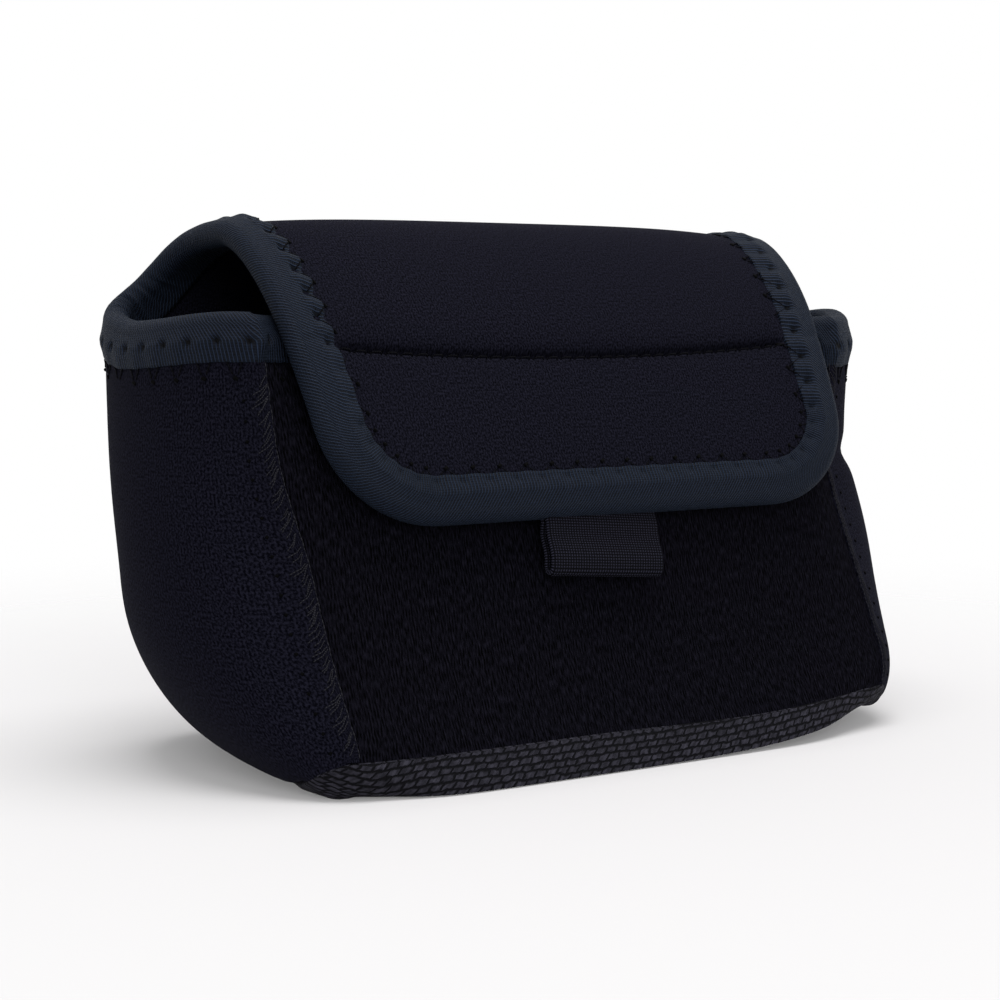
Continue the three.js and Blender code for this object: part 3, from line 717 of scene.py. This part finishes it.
def ribbed_tape():
    """Navy knit tape: round ribs, 0.66 mm apart across the fold, catch the light, and the needle holes are
    darkened with painted shade."""
    material, tree, shader, at = new_material("navy_knit_tape")
    ribs = add_node(tree, "TexWave", {"Vector": at, "Scale": wave_scale(0.66)}).outputs["Fac"]
    cross = add_node(
        tree, "TexWave", {"Vector": at, "Scale": wave_scale(0.45)}, bands_direction="Y"
    ).outputs["Fac"]
    fuzz = add_node(tree, "TexNoise", {"Vector": at, "Scale": 1.6, "Detail": 2.0}).outputs["Fac"]
    fuzz = add_node(tree, "MapRange", {0: fuzz, 1: 0.3, 2: 0.7}).outputs[0]
    ribs = add_node(tree, "MapRange", {0: ribs, 1: 0.55, 2: 1.0}).outputs[0]
    knit = add_node(tree, "MixRGB", {0: 0.1, 1: ribs, 2: cross}).outputs[0]
    height = add_node(tree, "MixRGB", {0: 0.12, 1: knit, 2: fuzz}).outputs[0]
    ramp = finish_cloth(tree, shader, height, "#000001", "#313e56", 0.0006, 0.7, 0.1, (0.4, "#7088a0"))
    # Painted shade in the needle holes, mixed into the tape's colour.
    hole = add_node(tree, "SeparateXYZ", {0: at}).outputs[2]
    shaded = add_node(tree, "MixRGB", {0: hole, 1: ramp.outputs[0], 2: colour("#010103")}, use_clamp=True)
    tree.links.new(shaded.outputs[0], shader.inputs["Base Color"])
    return material


def grip_weave():
    """Coated non-slip weave of the base: short slanted floats, 2.3 by 1.3 mm, with dark gaps between them and
    a dull shine."""
    material, tree, shader, at = new_material("coated_grip_weave")
    wobble = add_node(tree, "TexNoise", {"Vector": at, "Scale": 0.7, "Detail": 2.0}).outputs["Color"]
    moved = add_node(tree, "MixRGB", {0: 1.1, 1: at, 2: wobble}, blend_type="ADD").outputs[0]
    size = {"Scale": 1.0, "Brick Width": 2.3, "Row Height": 1.3, "Mortar Size": 0.3, "Mortar Smooth": 1.0}
    shades = {"Color1": (1, 1, 1, 1), "Color2": (0.65, 0.65, 0.65, 1), "Mortar": (0, 0, 0, 1)}
    bricks = add_node(tree, "TexBrick", {"Vector": moved, **size, **shades})
    leaning_back = add_node(tree, "Mapping", {"Vector": moved, "Scale": (1.0, -2.0, 1.0)}).outputs[0]
    one_way = add_node(tree, "TexWave", {"Vector": moved, "Scale": wave_scale(1.3)}).outputs["Fac"]
    other_way = add_node(
        tree, "TexWave", {"Vector": leaning_back, "Scale": wave_scale(2.2)}, bands_direction="DIAGONAL"
    ).outputs["Fac"]
    crossed = add_node(tree, "MixRGB", {0: 0.5, 1: one_way, 2: other_way}).outputs[0]
    fuzz = add_node(tree, "TexNoise", {"Vector": at, "Scale": 2.5, "Detail": 2.0}).outputs["Fac"]
    gap = bricks.outputs["Fac"]
    floats = add_node(tree, "MixRGB", {0: gap, 1: bricks.outputs["Color"], 2: (0, 0, 0, 1)}).outputs[0]
    yarns = add_node(tree, "MixRGB", {0: 0.4, 1: crossed, 2: fuzz}).outputs[0]
    yarns = add_node(tree, "MapRange", {0: yarns, 1: 0.25, 2: 0.7, 3: 0.45, 4: 1.0}).outputs[0]
    height = add_node(tree, "Math", {0: floats, 1: yarns}, operation="MULTIPLY").outputs[0]
    finish_cloth(tree, shader, height, "#0b0b0e", "#3e3d47", 0.0006, 0.65, 0.04)
    return material


def webbing():
    """Flat woven polyester webbing: a fine even check of yarns, about 0.5 mm each way."""
    material, tree, shader, at = new_material("woven_webbing")
    warp = add_node(tree, "TexWave", {"Vector": at, "Scale": wave_scale(0.58)}).outputs["Fac"]
    weft = add_node(
        tree, "TexWave", {"Vector": at, "Scale": wave_scale(0.48)}, bands_direction="Y"
    ).outputs["Fac"]
    height = add_node(tree, "Math", {0: warp, 1: weft}, operation="MULTIPLY").outputs[0]
    finish_cloth(tree, shader, height, "#000001", "#424254", 0.0004, 0.75, 0.05)
    return material


def hook_strip():
    """Moulded hook tape: rows of stiff nylon hooks, 1 mm apart, black with a dull shine."""
    material, tree, shader, at = new_material("moulded_hook_tape")
    across = add_node(tree, "TexWave", {"Vector": at, "Scale": wave_scale(1.0)}).outputs["Fac"]
    down = add_node(
        tree, "TexWave", {"Vector": at, "Scale": wave_scale(1.2)}, bands_direction="Y"
    ).outputs["Fac"]
    height = add_node(tree, "Math", {0: across, 1: down}, operation="MULTIPLY").outputs[0]
    finish_cloth(tree, shader, height, "#030304", "#1b1b20", 0.0005, 0.6, 0.1)
    return material


def sewing_thread(name, dark, light):
    """Textured polyester sewing thread: dull, with a soft twist of 0.5 mm a turn."""
    material, tree, shader, at = new_material(name)
    twist = add_node(tree, "TexWave", {"Vector": at, "Scale": wave_scale(0.5)}).outputs["Fac"]
    finish_cloth(tree, shader, twist, dark, light, 0.00004, 0.8, 0.05)
    return material


flap_jersey = jersey("neoprene_jersey_flap", "#020206", "#20202d")
# The body's copy of the same jersey is a touch darker than the flap's: painted shade for the gussets, which
# turn away from the light.
body_jersey = jersey("neoprene_jersey_body", "#000004", "#1f1f2c")
pile = brushed_pile()
tape = ribbed_tape()
weave = grip_weave()
web = webbing()
hooks = hook_strip()
thread = sewing_thread("black_polyester_thread", "#010102", "#0d0d13")
# Painted shade: a darker thread for the knots, standing for the shade in their needle holes.
painted_hole_shade_thread = sewing_thread("knot_thread_with_painted_hole_shade", "#000000", "#030305")
# Painted sheen: a lighter copy of the black thread, for the light that the fuzz of the ladders and cut edges
# catches.
fuzzy_thread_painted_sheen = sewing_thread("fuzzy_overlock_thread_painted_sheen", "#1a1a1f", "#35353b")


def dress(piece, material, slot, *nodes):
    """Give a piece its material, and let it stand for nodes of the model. The slot is not used."""
    piece.data.materials.append(material)
    if nodes:
        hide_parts(*nodes)
    return piece


def bend_at_fold(piece):
    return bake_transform(piece)


def bend_at_stitch_line(piece):
    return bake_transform(piece)


def lip(q):
    """Height of the base's upper edge: along the front, then running out under the gussets."""
    w = np.mod(walk_at(q), 4)
    past_right = np.where(w < 2.5, np.clip(w - 1, 0, 1), 0) * 95
    past_left = np.where(w >= 2.5, np.clip(4 - w, 0, 1), 0) * 95
    run_out = (1 - smoothstep(past_right, 0, 14)) * (1 - smoothstep(past_left, -6, 32))
    along = np.where(w > 2.5, 0, np.clip(w, 0, 1))
    front = lerp(LIP_HEIGHT, LIP_HEIGHT - 1.8, smoothstep(along, 0.4, 1))
    return 0.5 + (front - 0.5) * run_out


def laps_over(height):
    """1 where the base's edge is high enough to lap over the wall, and 0 where it only meets it."""
    return smoothstep(height, 2.2, 4.2)


def wall_piece(name, from_q, to_q, top, upright=False):
    """A panel of the wall between two seams, from the base up to a top edge. The nap of an upright one is
    drawn plumb, and the knit of the others follows the seams."""
    q = spread(from_q, to_q, 1.1)
    shares = spread(0, 1, 1 / 72, ends=(0.002, 0.005, 0.01, 0.016, 0.025))
    foot = lip(q) + 0.15 - (LAP + 0.25) * laps_over(lip(q)) - RIM_HEIGHT
    s = foot[None, :] + (top(q) - foot)[None, :] * shares[:, None]
    rings, pattern = cloth_rings(np.broadcast_to(q, s.shape), s)
    if upright:
        pattern[..., 0] = rings[..., 0]
    return loft(name, rings, pattern)


def gusset_top(path):
    """Top edge of a gusset's cloth inside the binding: the rim, rising at the back corner."""
    order = np.argsort(np.abs(path[:, 0]))
    near = np.abs(path[order, 0])
    heights = path[order, 1]
    on_rim = heights < 12
    return lambda q: np.interp(np.abs(q), near[on_rim], heights[on_rim]) - IN_TAPE


def side_of(path, s, seam):
    """How far from the middle the flap's cloth reaches at s: to the back seam, then inside the binding."""
    straight = int(np.argmax(path[:, 1] >= CORNER_AT))
    edge = np.interp(s, path[:straight, 1], np.abs(path[:straight, 0])) - IN_TAPE
    corner = CLOTH_CORNER * (1 - np.sqrt(np.clip(1 - ((s - CORNER_AT) / CLOTH_CORNER) ** 2, 0, 1)))
    return np.where(s < 4, seam, np.minimum(edge, seam)) - np.where(s > CORNER_AT, corner, 0)


def flap_sheet():
    """The back panel and the flap are one cut piece. It is drawn in three parts: one bends at the back fold
    and ends at the top of the arch, one runs on to the stitch line, and one bends under it."""
    back = spread(0.7 - RIM_HEIGHT, 0, 1.3)[:-2]
    rise = np.linspace(0, ARCH_AT, 34)
    before, after = STITCH_AT - 2.4, STITCH_AT + 4.5  # the rows lie closer together between these
    over = np.concatenate([np.linspace(ARCH_AT, before, 38)[1:], np.linspace(before, STITCH_AT, 7)[1:]])
    fall = np.concatenate([np.linspace(STITCH_AT, after, 18)[1:], np.linspace(after, CORNER_AT, 12)[1:-1]])
    corner = CORNER_AT + CLOTH_CORNER * np.sin(np.linspace(0, math.pi / 2, 30))
    rows = np.concatenate([back, rise, over, fall, corner])
    right = side_of(right_edge, rows, BACK_SEAM)
    left = side_of(left_edge, rows, -LEFT_BACK_SEAM)
    shares = spread(0, 1, 1 / 130, ends=(0.001, 0.003, 0.006, 0.01, 0.016))
    q = -left[:, None] + (left + right)[:, None] * shares
    rings, pattern = cloth_rings(q, np.broadcast_to(rows[:, None], q.shape))
    arch = len(back) + len(rise) - 1
    stitches = arch + len(over)
    return (
        loft("back_and_flap_cloth", rings, pattern, 0, arch),
        loft("flap_over_cloth", rings, pattern, arch, stitches),
        loft("flap_front_cloth", rings, pattern, stitches, len(rings) - 1),
    )


back_and_flap, flap_over, flap_front = flap_sheet()
left_gusset = wall_piece(
    "left_gusset_cloth", LEFT_BACK_SEAM - SEAM_GAP, LEFT_FRONT_SEAM + SEAM_GAP, gusset_top(left_edge)
)
right_gusset = wall_piece(
    "right_gusset_cloth", BACK_SEAM + SEAM_GAP, FRONT_SEAM - SEAM_GAP, gusset_top(right_edge)
)
front_panel = wall_piece(
    "front_panel_pile",
    LEFT_FRONT_SEAM - SEAM_GAP,
    ROUND_TO_RIGHT + SEAM_GAP,
    lambda q: np.full_like(q, -IN_TAPE),
    upright=True,
)

dress(back_and_flap, flap_jersey, "neoprene", "back_panel", "flap_top")
dress(flap_over, flap_jersey, "neoprene", "flap_top")
dress(flap_front, flap_jersey, "neoprene", "flap_front")
dress(left_gusset, body_jersey, "neoprene", "left_gusset")
dress(right_gusset, body_jersey, "neoprene", "right_gusset")
dress(front_panel, pile, "pile", "front_panel")
bend_at_fold(back_and_flap)
bend_at_fold(left_gusset)
bend_at_fold(right_gusset)
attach(flap_over, "flap")
bend_at_stitch_line(flap_front)
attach(front_panel, "pouch")


# Bindings: one run round the flap between the two back corners, and one round the pouch's rim

SPARE = 3  # stations past both ends of a run, for its shading
left_turn = index_of(left_edge, -LEFT_BACK_SEAM + 20, 0)
right_turn = index_of(right_edge, BACK_SEAM + 20, 0)
flap_path = np.concatenate([left_edge[left_turn - SPARE :], right_edge[right_turn - SPARE :][-2::-1]])
flap_run = Run(flap_path, -1, SPARE, len(flap_path) - 1 - SPARE)
front_path = np.linspace(LEFT_FRONT_SEAM, ROUND_TO_RIGHT, 186)[1:-1, None] * [1, 0]
rim_path = np.concatenate(
    [left_edge[left_turn + SPARE :: -1], front_path, right_edge[: right_turn + SPARE + 1] - [WHOLE_ROUND, 0]]
)
rim_run = Run(rim_path, 1, SPARE, len(rim_path) - 1 - SPARE)

left_arch = SPARE + index_of(left_edge[left_turn:], ARCH_AT, 1)
left_stitches = SPARE + index_of(left_edge[left_turn:], STITCH_AT, 1)
right_arch = len(flap_path) - 1 - SPARE - index_of(right_edge[right_turn:], ARCH_AT, 1)
right_stitches = len(flap_path) - 1 - SPARE - index_of(right_edge[right_turn:], STITCH_AT, 1)


def with_flap(piece):
    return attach(piece, "flap")


def with_pouch(piece):
    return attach(piece, "pouch")


# The parts of each run: name, first and last station, how it moves and the nodes that it stands for
flap_parts = [
    ("left_corner", flap_run.first, left_arch, bend_at_fold, ["flap_left_binding"]),
    ("left_arch", left_arch, left_stitches, with_flap, ["flap_left_binding"]),
    ("flap_front", left_stitches, right_stitches, bend_at_stitch_line, ["flap_front_binding"]),
    ("right_arch", right_stitches, right_arch, with_flap, ["flap_right_binding"]),
    ("right_corner", right_arch, flap_run.last, bend_at_fold, ["flap_right_binding"]),
]
rim_nodes = ["left_rim_binding", "front_rim_binding", "right_rim_binding"]
rim_parts = [("rim", rim_run.first, rim_run.last, with_pouch, rim_nodes)]


def strands(name, lines, radius=THREAD, material=None):
    """Lengths of thread as one mesh: lines holds the points along each."""
    lines = np.asarray(lines)
    heading = unit(np.gradient(lines, axis=1))
    first = unit(np.cross(heading, np.array([0.36, 0.48, 0.8])))
    second = np.cross(heading, first)
    sides = 6
    turn = np.arange(sides) * math.pi / 3
    across = np.cos(turn)[:, None] * first[:, :, None, :] + np.sin(turn)[:, None] * second[:, :, None, :]
    points = (across * radius + lines[:, :, None, :]).reshape(-1, 3)
    count, length = lines.shape[:2]
    start = np.arange(count)[:, None, None] * length * sides
    faces = (start + loft_faces(length, sides)).reshape(-1, 4)
    if signed_volume(points, faces) < 0:
        faces = faces[:, ::-1]
    along = np.broadcast_to((np.arange(length) * 0.5)[None, :, None], (count, length, sides))
    pattern = np.stack([along, 0 * along, 0 * along], -1).reshape(-1, 3)
    return dress(make_piece(name, points, faces, pattern), material or thread, "thread")


def zigzag(run, first, last):
    """Stitches from each needle hole in the tape, over its sewn edge, to the cloth and back, and the knots
    where the thread goes down into the cloth, whose darker thread is painted shade of the needle holes there."""
    low, high = run.stitch[first], run.stitch[last]
    lines, knots_with_painted_shade = [], []
    share = np.linspace(0, 1, 9)
    for k in range(math.ceil(low - 1e-6), math.floor(high + 1e-6)):
        looks = looks_at(*(float(np.interp(k + 0.5, run.stitch, run.path[:, axis])) for axis in range(2)))
        for side in (-1, 1):
            stitch = k + 0.5 + side * share * 0.46
            depth = lerp(looks["hole"], looks["reach"], share)
            over = looks["proud"] - looks["buried"] * (1 - smoothstep(depth, 8.2, 9))
            over = over - 0.9 * np.exp(-((share / 0.07) ** 2)) - 0.7 * np.exp(-(((share - 1) / 0.06) ** 2))
            lines.append(run.on_face(stitch, depth, over))
        depth = looks["reach"] + 0.8 * share[:5] - 0.1
        knots_with_painted_shade.append(run.on_face(k + 1 + 0.25 * (share[:5] - 0.25), depth, 0.02 - 0.3 * share[:5]))
    return lines, knots_with_painted_shade


for run, parts in ((flap_run, flap_parts), (rim_run, rim_parts)):
    rings, pattern = run.tape()
    for name, first, last, move, nodes in parts:
        move(dress(loft(name + "_binding_tape", rings, pattern, first, last), tape, "binding", *nodes))
        lines, knots_with_painted_shade = zigzag(run, first, last)
        move(strands(name + "_zigzag", lines))
        # The knots' darker thread paints the shade of the needle holes.
        move(strands(name + "_knots", knots_with_painted_shade, 0.36, painted_hole_shade_thread))


# Flat-lock seams: a strip of jersey over each seam, with a ladder of threads from its middle to its cut edge
# in a lighter thread that paints their sheen, and a row of sunk knots along its other edge, in a darker
# thread that paints the shade of their needle holes


def seam_strip(name, seam, toward, node):
    """toward is +1 where the cut edge lies on the side of growing q, and -1 where it lies on the other."""
    foot = max(float(lip(seam)) + 0.1, 2.5)
    s = spread(foot - RIM_HEIGHT, -8.2, 0.9, ends=(0.2, 0.5))
    across = np.array([-2.0, -1.7, -1.1, -0.4, 0.3, 1.0, 1.6, 2.2, 2.45, 2.6])
    lift = np.array([-0.25, 0.03, 0.14, 0.22, 0.28, 0.36, 0.44, 0.5, 0.44, 0.1])
    q, rows = np.meshgrid(seam + toward * across, s)
    strip = loft(name + "_strip", *two_faced(place(q, rows, lift), place(q, rows, -0.4), q, rows))
    dress(strip, body_jersey, "thread", node)
    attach(strip, "pouch")
    draw = np.random.default_rng(5)
    share = np.linspace(0, 1, 9)
    lines, knots_with_painted_shade = [], []
    for hole in np.arange(s[0] + 1.5, s[-1] - 4.5, LADDER_PITCH):
        for at in hole + np.array([-1.1, -0.4, 0.3, 1.1]) + draw.normal(0, 0.22, 4):
            start, end = -0.9 + draw.normal(0, 0.45), 1.8 + draw.normal(0, 0.3)
            rise = 2.4 + draw.normal(0, 0.5)
            side = lerp(start, end, share**1.25)
            over = 0.08 + np.interp(side, across, lift, left=0) - 0.5 * np.exp(-((share / 0.1) ** 2))
            lines.append(place(seam + toward * side, at + 0.7 + share * rise, over))
        short = share[:5]
        knots_with_painted_shade.append(place(seam - toward * (2.7 + 0.5 * short), hole + 0.4 * short, 0.05 - 0.25 * short))
    # A thin strand in the lighter thread along the cut edge: a painted highlight along the real edge.
    edge = s[2:-2]
    bob = 0.1 * np.sin(edge * 5.1)
    frayed_edge_painted_highlight = [place(seam + toward * (2.5 + bob), edge, 0.42 + bob)]
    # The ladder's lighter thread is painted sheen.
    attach(strands(name + "_ladder", lines, 0.1, fuzzy_thread_painted_sheen), "pouch")
    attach(strands(name + "_cut_edge_painted_highlight", frayed_edge_painted_highlight, 0.09, fuzzy_thread_painted_sheen), "pouch")
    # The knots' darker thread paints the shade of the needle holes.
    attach(strands(name + "_knots", knots_with_painted_shade, 0.3, painted_hole_shade_thread), "pouch")


seam_strip("front_left_seam", LEFT_FRONT_SEAM, -1, "front_left_seam")
seam_strip("front_right_seam", FRONT_SEAM, 1, "front_right_seam")
seam_strip("back_right_seam", BACK_SEAM, -1, "back_right_seam")
seam_strip("back_left_seam", LEFT_BACK_SEAM, 1, "back_left_seam")


def groove_stitches():
    """Straight stitches along the sunk line."""
    share = np.linspace(0, 1, 9)
    lines = []
    for at in np.arange(-51, 51, STRAIGHT_PITCH):
        q = at + share * 2.5
        over = 0.85 - 1.1 * np.exp(-((share / 0.12) ** 2)) - 1.1 * np.exp(-(((1 - share) / 0.12) ** 2))
        lines.append(place(q, groove_at(q) + 1.1, over))
    bend_at_stitch_line(strands("stitch_line_threads", lines, 0.14))


groove_stitches()


# The base


def base_sheet():
    """Grip cloth on foam: flat below, with rounded front corners, and turned up along the front. Its rings
    start in the middle of the left side, so that their ladders of faces run from left to right."""
    q = np.concatenate([spread(round_at(w), round_at(w + 1), 1.2)[:-1] for w in range(4)])
    q = np.roll(q, -int(np.argmax(q < round_at(3.5))))
    if len(q) % 2:
        q = np.delete(q, len(q) // 2)
    top = lip(q)
    shares = [0, 0.015, 0.05, 0.1, 0.17, 0.26, 0.36, 0.48, 0.6, 0.72, 0.84, 0.93, 1]
    lapped = laps_over(top)
    rings = []
    for share in shares:
        drop = edge_drop((1 - share) * top, 0.5)
        rings.append(place(q, share * top - RIM_HEIGHT, 0.3 * lapped - drop))
    for share in shares[:2:-1]:
        on_wall = lapped * ((1 - share) * top < LAP)
        ring = place(q, share * top - RIM_HEIGHT, lerp(-3.4, 0.03, on_wall))
        ring[:, 2] = np.maximum(ring[:, 2], NEOPRENE)
        rings.append(ring)
    rings = np.array(rings)
    down = skin(q, -RIM_HEIGHT)[:, 1] - distances(rings)
    pattern = np.stack([rings[..., 0] + 0.9 * down, down, 0 * down], -1)
    return loft("grip_base", rings, pattern)


base = base_sheet()
dress(base, weave, "base_weave", "base_panel")
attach(base, "pouch")


# Hook tape and pull tab


def hook_sheet():
    """Hook tape inside the front of the flap."""
    s = spread(STITCH_AT + 5, FLAP_LENGTH - 12, 1.2, ends=(0.2, 0.5))
    q = spread(-42, 42, 1.5, ends=(0.2, 0.5))
    q, s = np.meshgrid(q, s)
    outer, inner = place(q, s, -NEOPRENE - 0.1), place(q, s, -NEOPRENE - 1.3)
    return loft("hook_tape_strip", *two_faced(outer, inner, q, s))


hook_piece = hook_sheet()
dress(hook_piece, hooks, "hook", "hook_tape")
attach(hook_piece, "flap_front")

TAB_WIDTH = 25
TAB_LENGTH = 10.9
TAB_MIDDLE = -3
TAB_TILT = 6  # degrees out from the panel
TAB_ROLL = -4.5  # degrees, and its right side hangs lower


def pull_tab():
    """A loop of webbing: down from the flap's edge, round a soft fold and back up behind."""
    bend = 1.05  # radius of the fold
    fold_at = TAB_LENGTH - bend
    down = np.linspace(-1.5, fold_at, 18)
    round_fold = np.linspace(math.pi / 2, -math.pi / 2, 13)[1:-1]
    swing = 0.9 * smoothstep(down, -1.5, 2) + 1.5 * smoothstep(down, 3.4, 8.5)
    spread_apart = lerp(WEBBING_HALF, bend, smoothstep(down, 0, 5))
    front = np.stack([down, swing + spread_apart], -1)
    turn = np.stack([fold_at + bend * np.cos(round_fold), swing[-1] + bend * np.sin(round_fold)], -1)
    back = np.stack([down, swing - spread_apart], -1)[::-1]
    line = np.concatenate([front, turn, back])
    heading = unit(np.gradient(line, axis=0))
    normal = np.stack([-heading[:, 1], heading[:, 0]], -1)
    along = distances(line)
    across = spread(-TAB_WIDTH / 2, TAB_WIDTH / 2, 0.8, ends=(0.15, 0.4, 0.8))
    half = WEBBING_HALF - 0.9 * edge_drop(TAB_WIDTH / 2 - np.abs(across), 0.55)
    face = line[:, None, :] + normal[:, None, :] * half[None, :, None]
    rear = line[:, None, :] - normal[:, None, :] * half[None, :, None]
    tilt, roll = math.radians(TAB_TILT), math.radians(TAB_ROLL)
    hang = np.array([math.sin(roll), -math.sin(tilt) * math.cos(roll), -math.cos(tilt) * math.cos(roll)])
    side = np.array([math.cos(roll), 0, math.sin(roll)])
    side = unit(side - hang * (side @ hang))
    out = np.cross(hang, side)
    root = place(TAB_MIDDLE, FLAP_LENGTH - 0.5, -NEOPRENE / 2 - 1)

    def hung(flat):
        x = np.broadcast_to(across, flat.shape[:2])
        return root + x[..., None] * side + flat[..., :1] * hang + flat[..., 1:] * out

    places = np.meshgrid(across, along)
    return loft("pull_tab_webbing", *two_faced(hung(face), hung(rear), *places))


tab = pull_tab()
dress(tab, web, "webbing", "pull_tab")
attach(tab, "pull_tab")

# Studio


def make_floor():
    """White paper that takes the shadow near the pouch and fades, further out, into the white world."""
    sides = 96
    turn = np.linspace(0, 2 * math.pi, sides + 1)[:-1]
    radii = [200, 400, 700, 1100, 1600]
    points = [(0, 0, 0)] + [(r * math.cos(a), r * math.sin(a), 0) for r in radii for a in turn]
    faces = [(0, 1 + k, 1 + (k + 1) % sides) for k in range(sides)]
    for start in range(1, 1 + sides * (len(radii) - 1), sides):
        for k in range(sides):
            here, after = start + k, start + (k + 1) % sides
            faces.append((here, here + sides, after + sides, after))
    floor = make_piece("floor", points, faces, points)
    material, tree, shader, at = new_material("white_paper")
    shader.inputs["Base Color"].default_value = colour("#fbf9fa")
    shader.inputs["Roughness"].default_value = 0.9
    shader.inputs["Specular IOR Level"].default_value = 0.1
    away = add_node(tree, "VectorMath", {0: at}, operation="LENGTH").outputs["Value"]
    fade = add_node(
        tree, "MapRange", {0: away, 1: 20.0, 2: 340.0, 3: 0.12, 4: 1.0}, interpolation_type="SMOOTHSTEP"
    )
    clear = add_node(tree, "BsdfTransparent")
    mixed = add_node(tree, "MixShader", {0: fade.outputs[0], 1: shader.outputs[0], 2: clear.outputs[0]})
    tree.links.new(mixed.outputs[0], tree.nodes["Material Output"].inputs["Surface"])
    floor.data.materials.append(material)


def lamp(name, place_at, aim, size, power):
    """A round softbox, with its size in metres and its power in watts."""
    light = bpy.data.lights.new(name, "AREA")
    light.shape = "DISK"
    light.size = size
    light.energy = power
    holder = bpy.data.objects.new(name, light)
    holder.location = place_at
    holder.rotation_euler = (Vector(aim) - Vector(place_at)).to_track_quat("-Z", "Y").to_euler()
    bpy.context.scene.collection.objects.link(holder)


def make_light():
    """A world that is white to the eye and dim on the pouch, and two soft lamps."""
    world = bpy.data.worlds.new("studio")
    bpy.context.scene.world = world
    world.use_nodes = True
    tree = world.node_tree
    background = tree.nodes["Background"]
    rays = add_node(tree, "LightPath").outputs
    seen = rays["Is Camera Ray"]
    for kind in ("Is Glossy Ray", "Is Transmission Ray"):
        seen = add_node(tree, "Math", {0: seen, 1: rays[kind]}, operation="ADD").outputs[0]
    strength = add_node(tree, "MapRange", {0: seen, 3: 0.34, 4: 1.0})
    tree.links.new(strength.outputs[0], background.inputs["Strength"])
    background.inputs["Color"].default_value = (1, 1, 1, 1)
    lamp("overhead_softbox", (0.1, -0.05, 1.3), (0, 0, 0.05), 1.1, 11)
    lamp("front_softbox", (-0.5, -1.4, 0.6), (0, 0, 0.05), 0.9, 6)


make_floor()
make_light()
bpy.context.scene.view_settings.view_transform = "Standard"
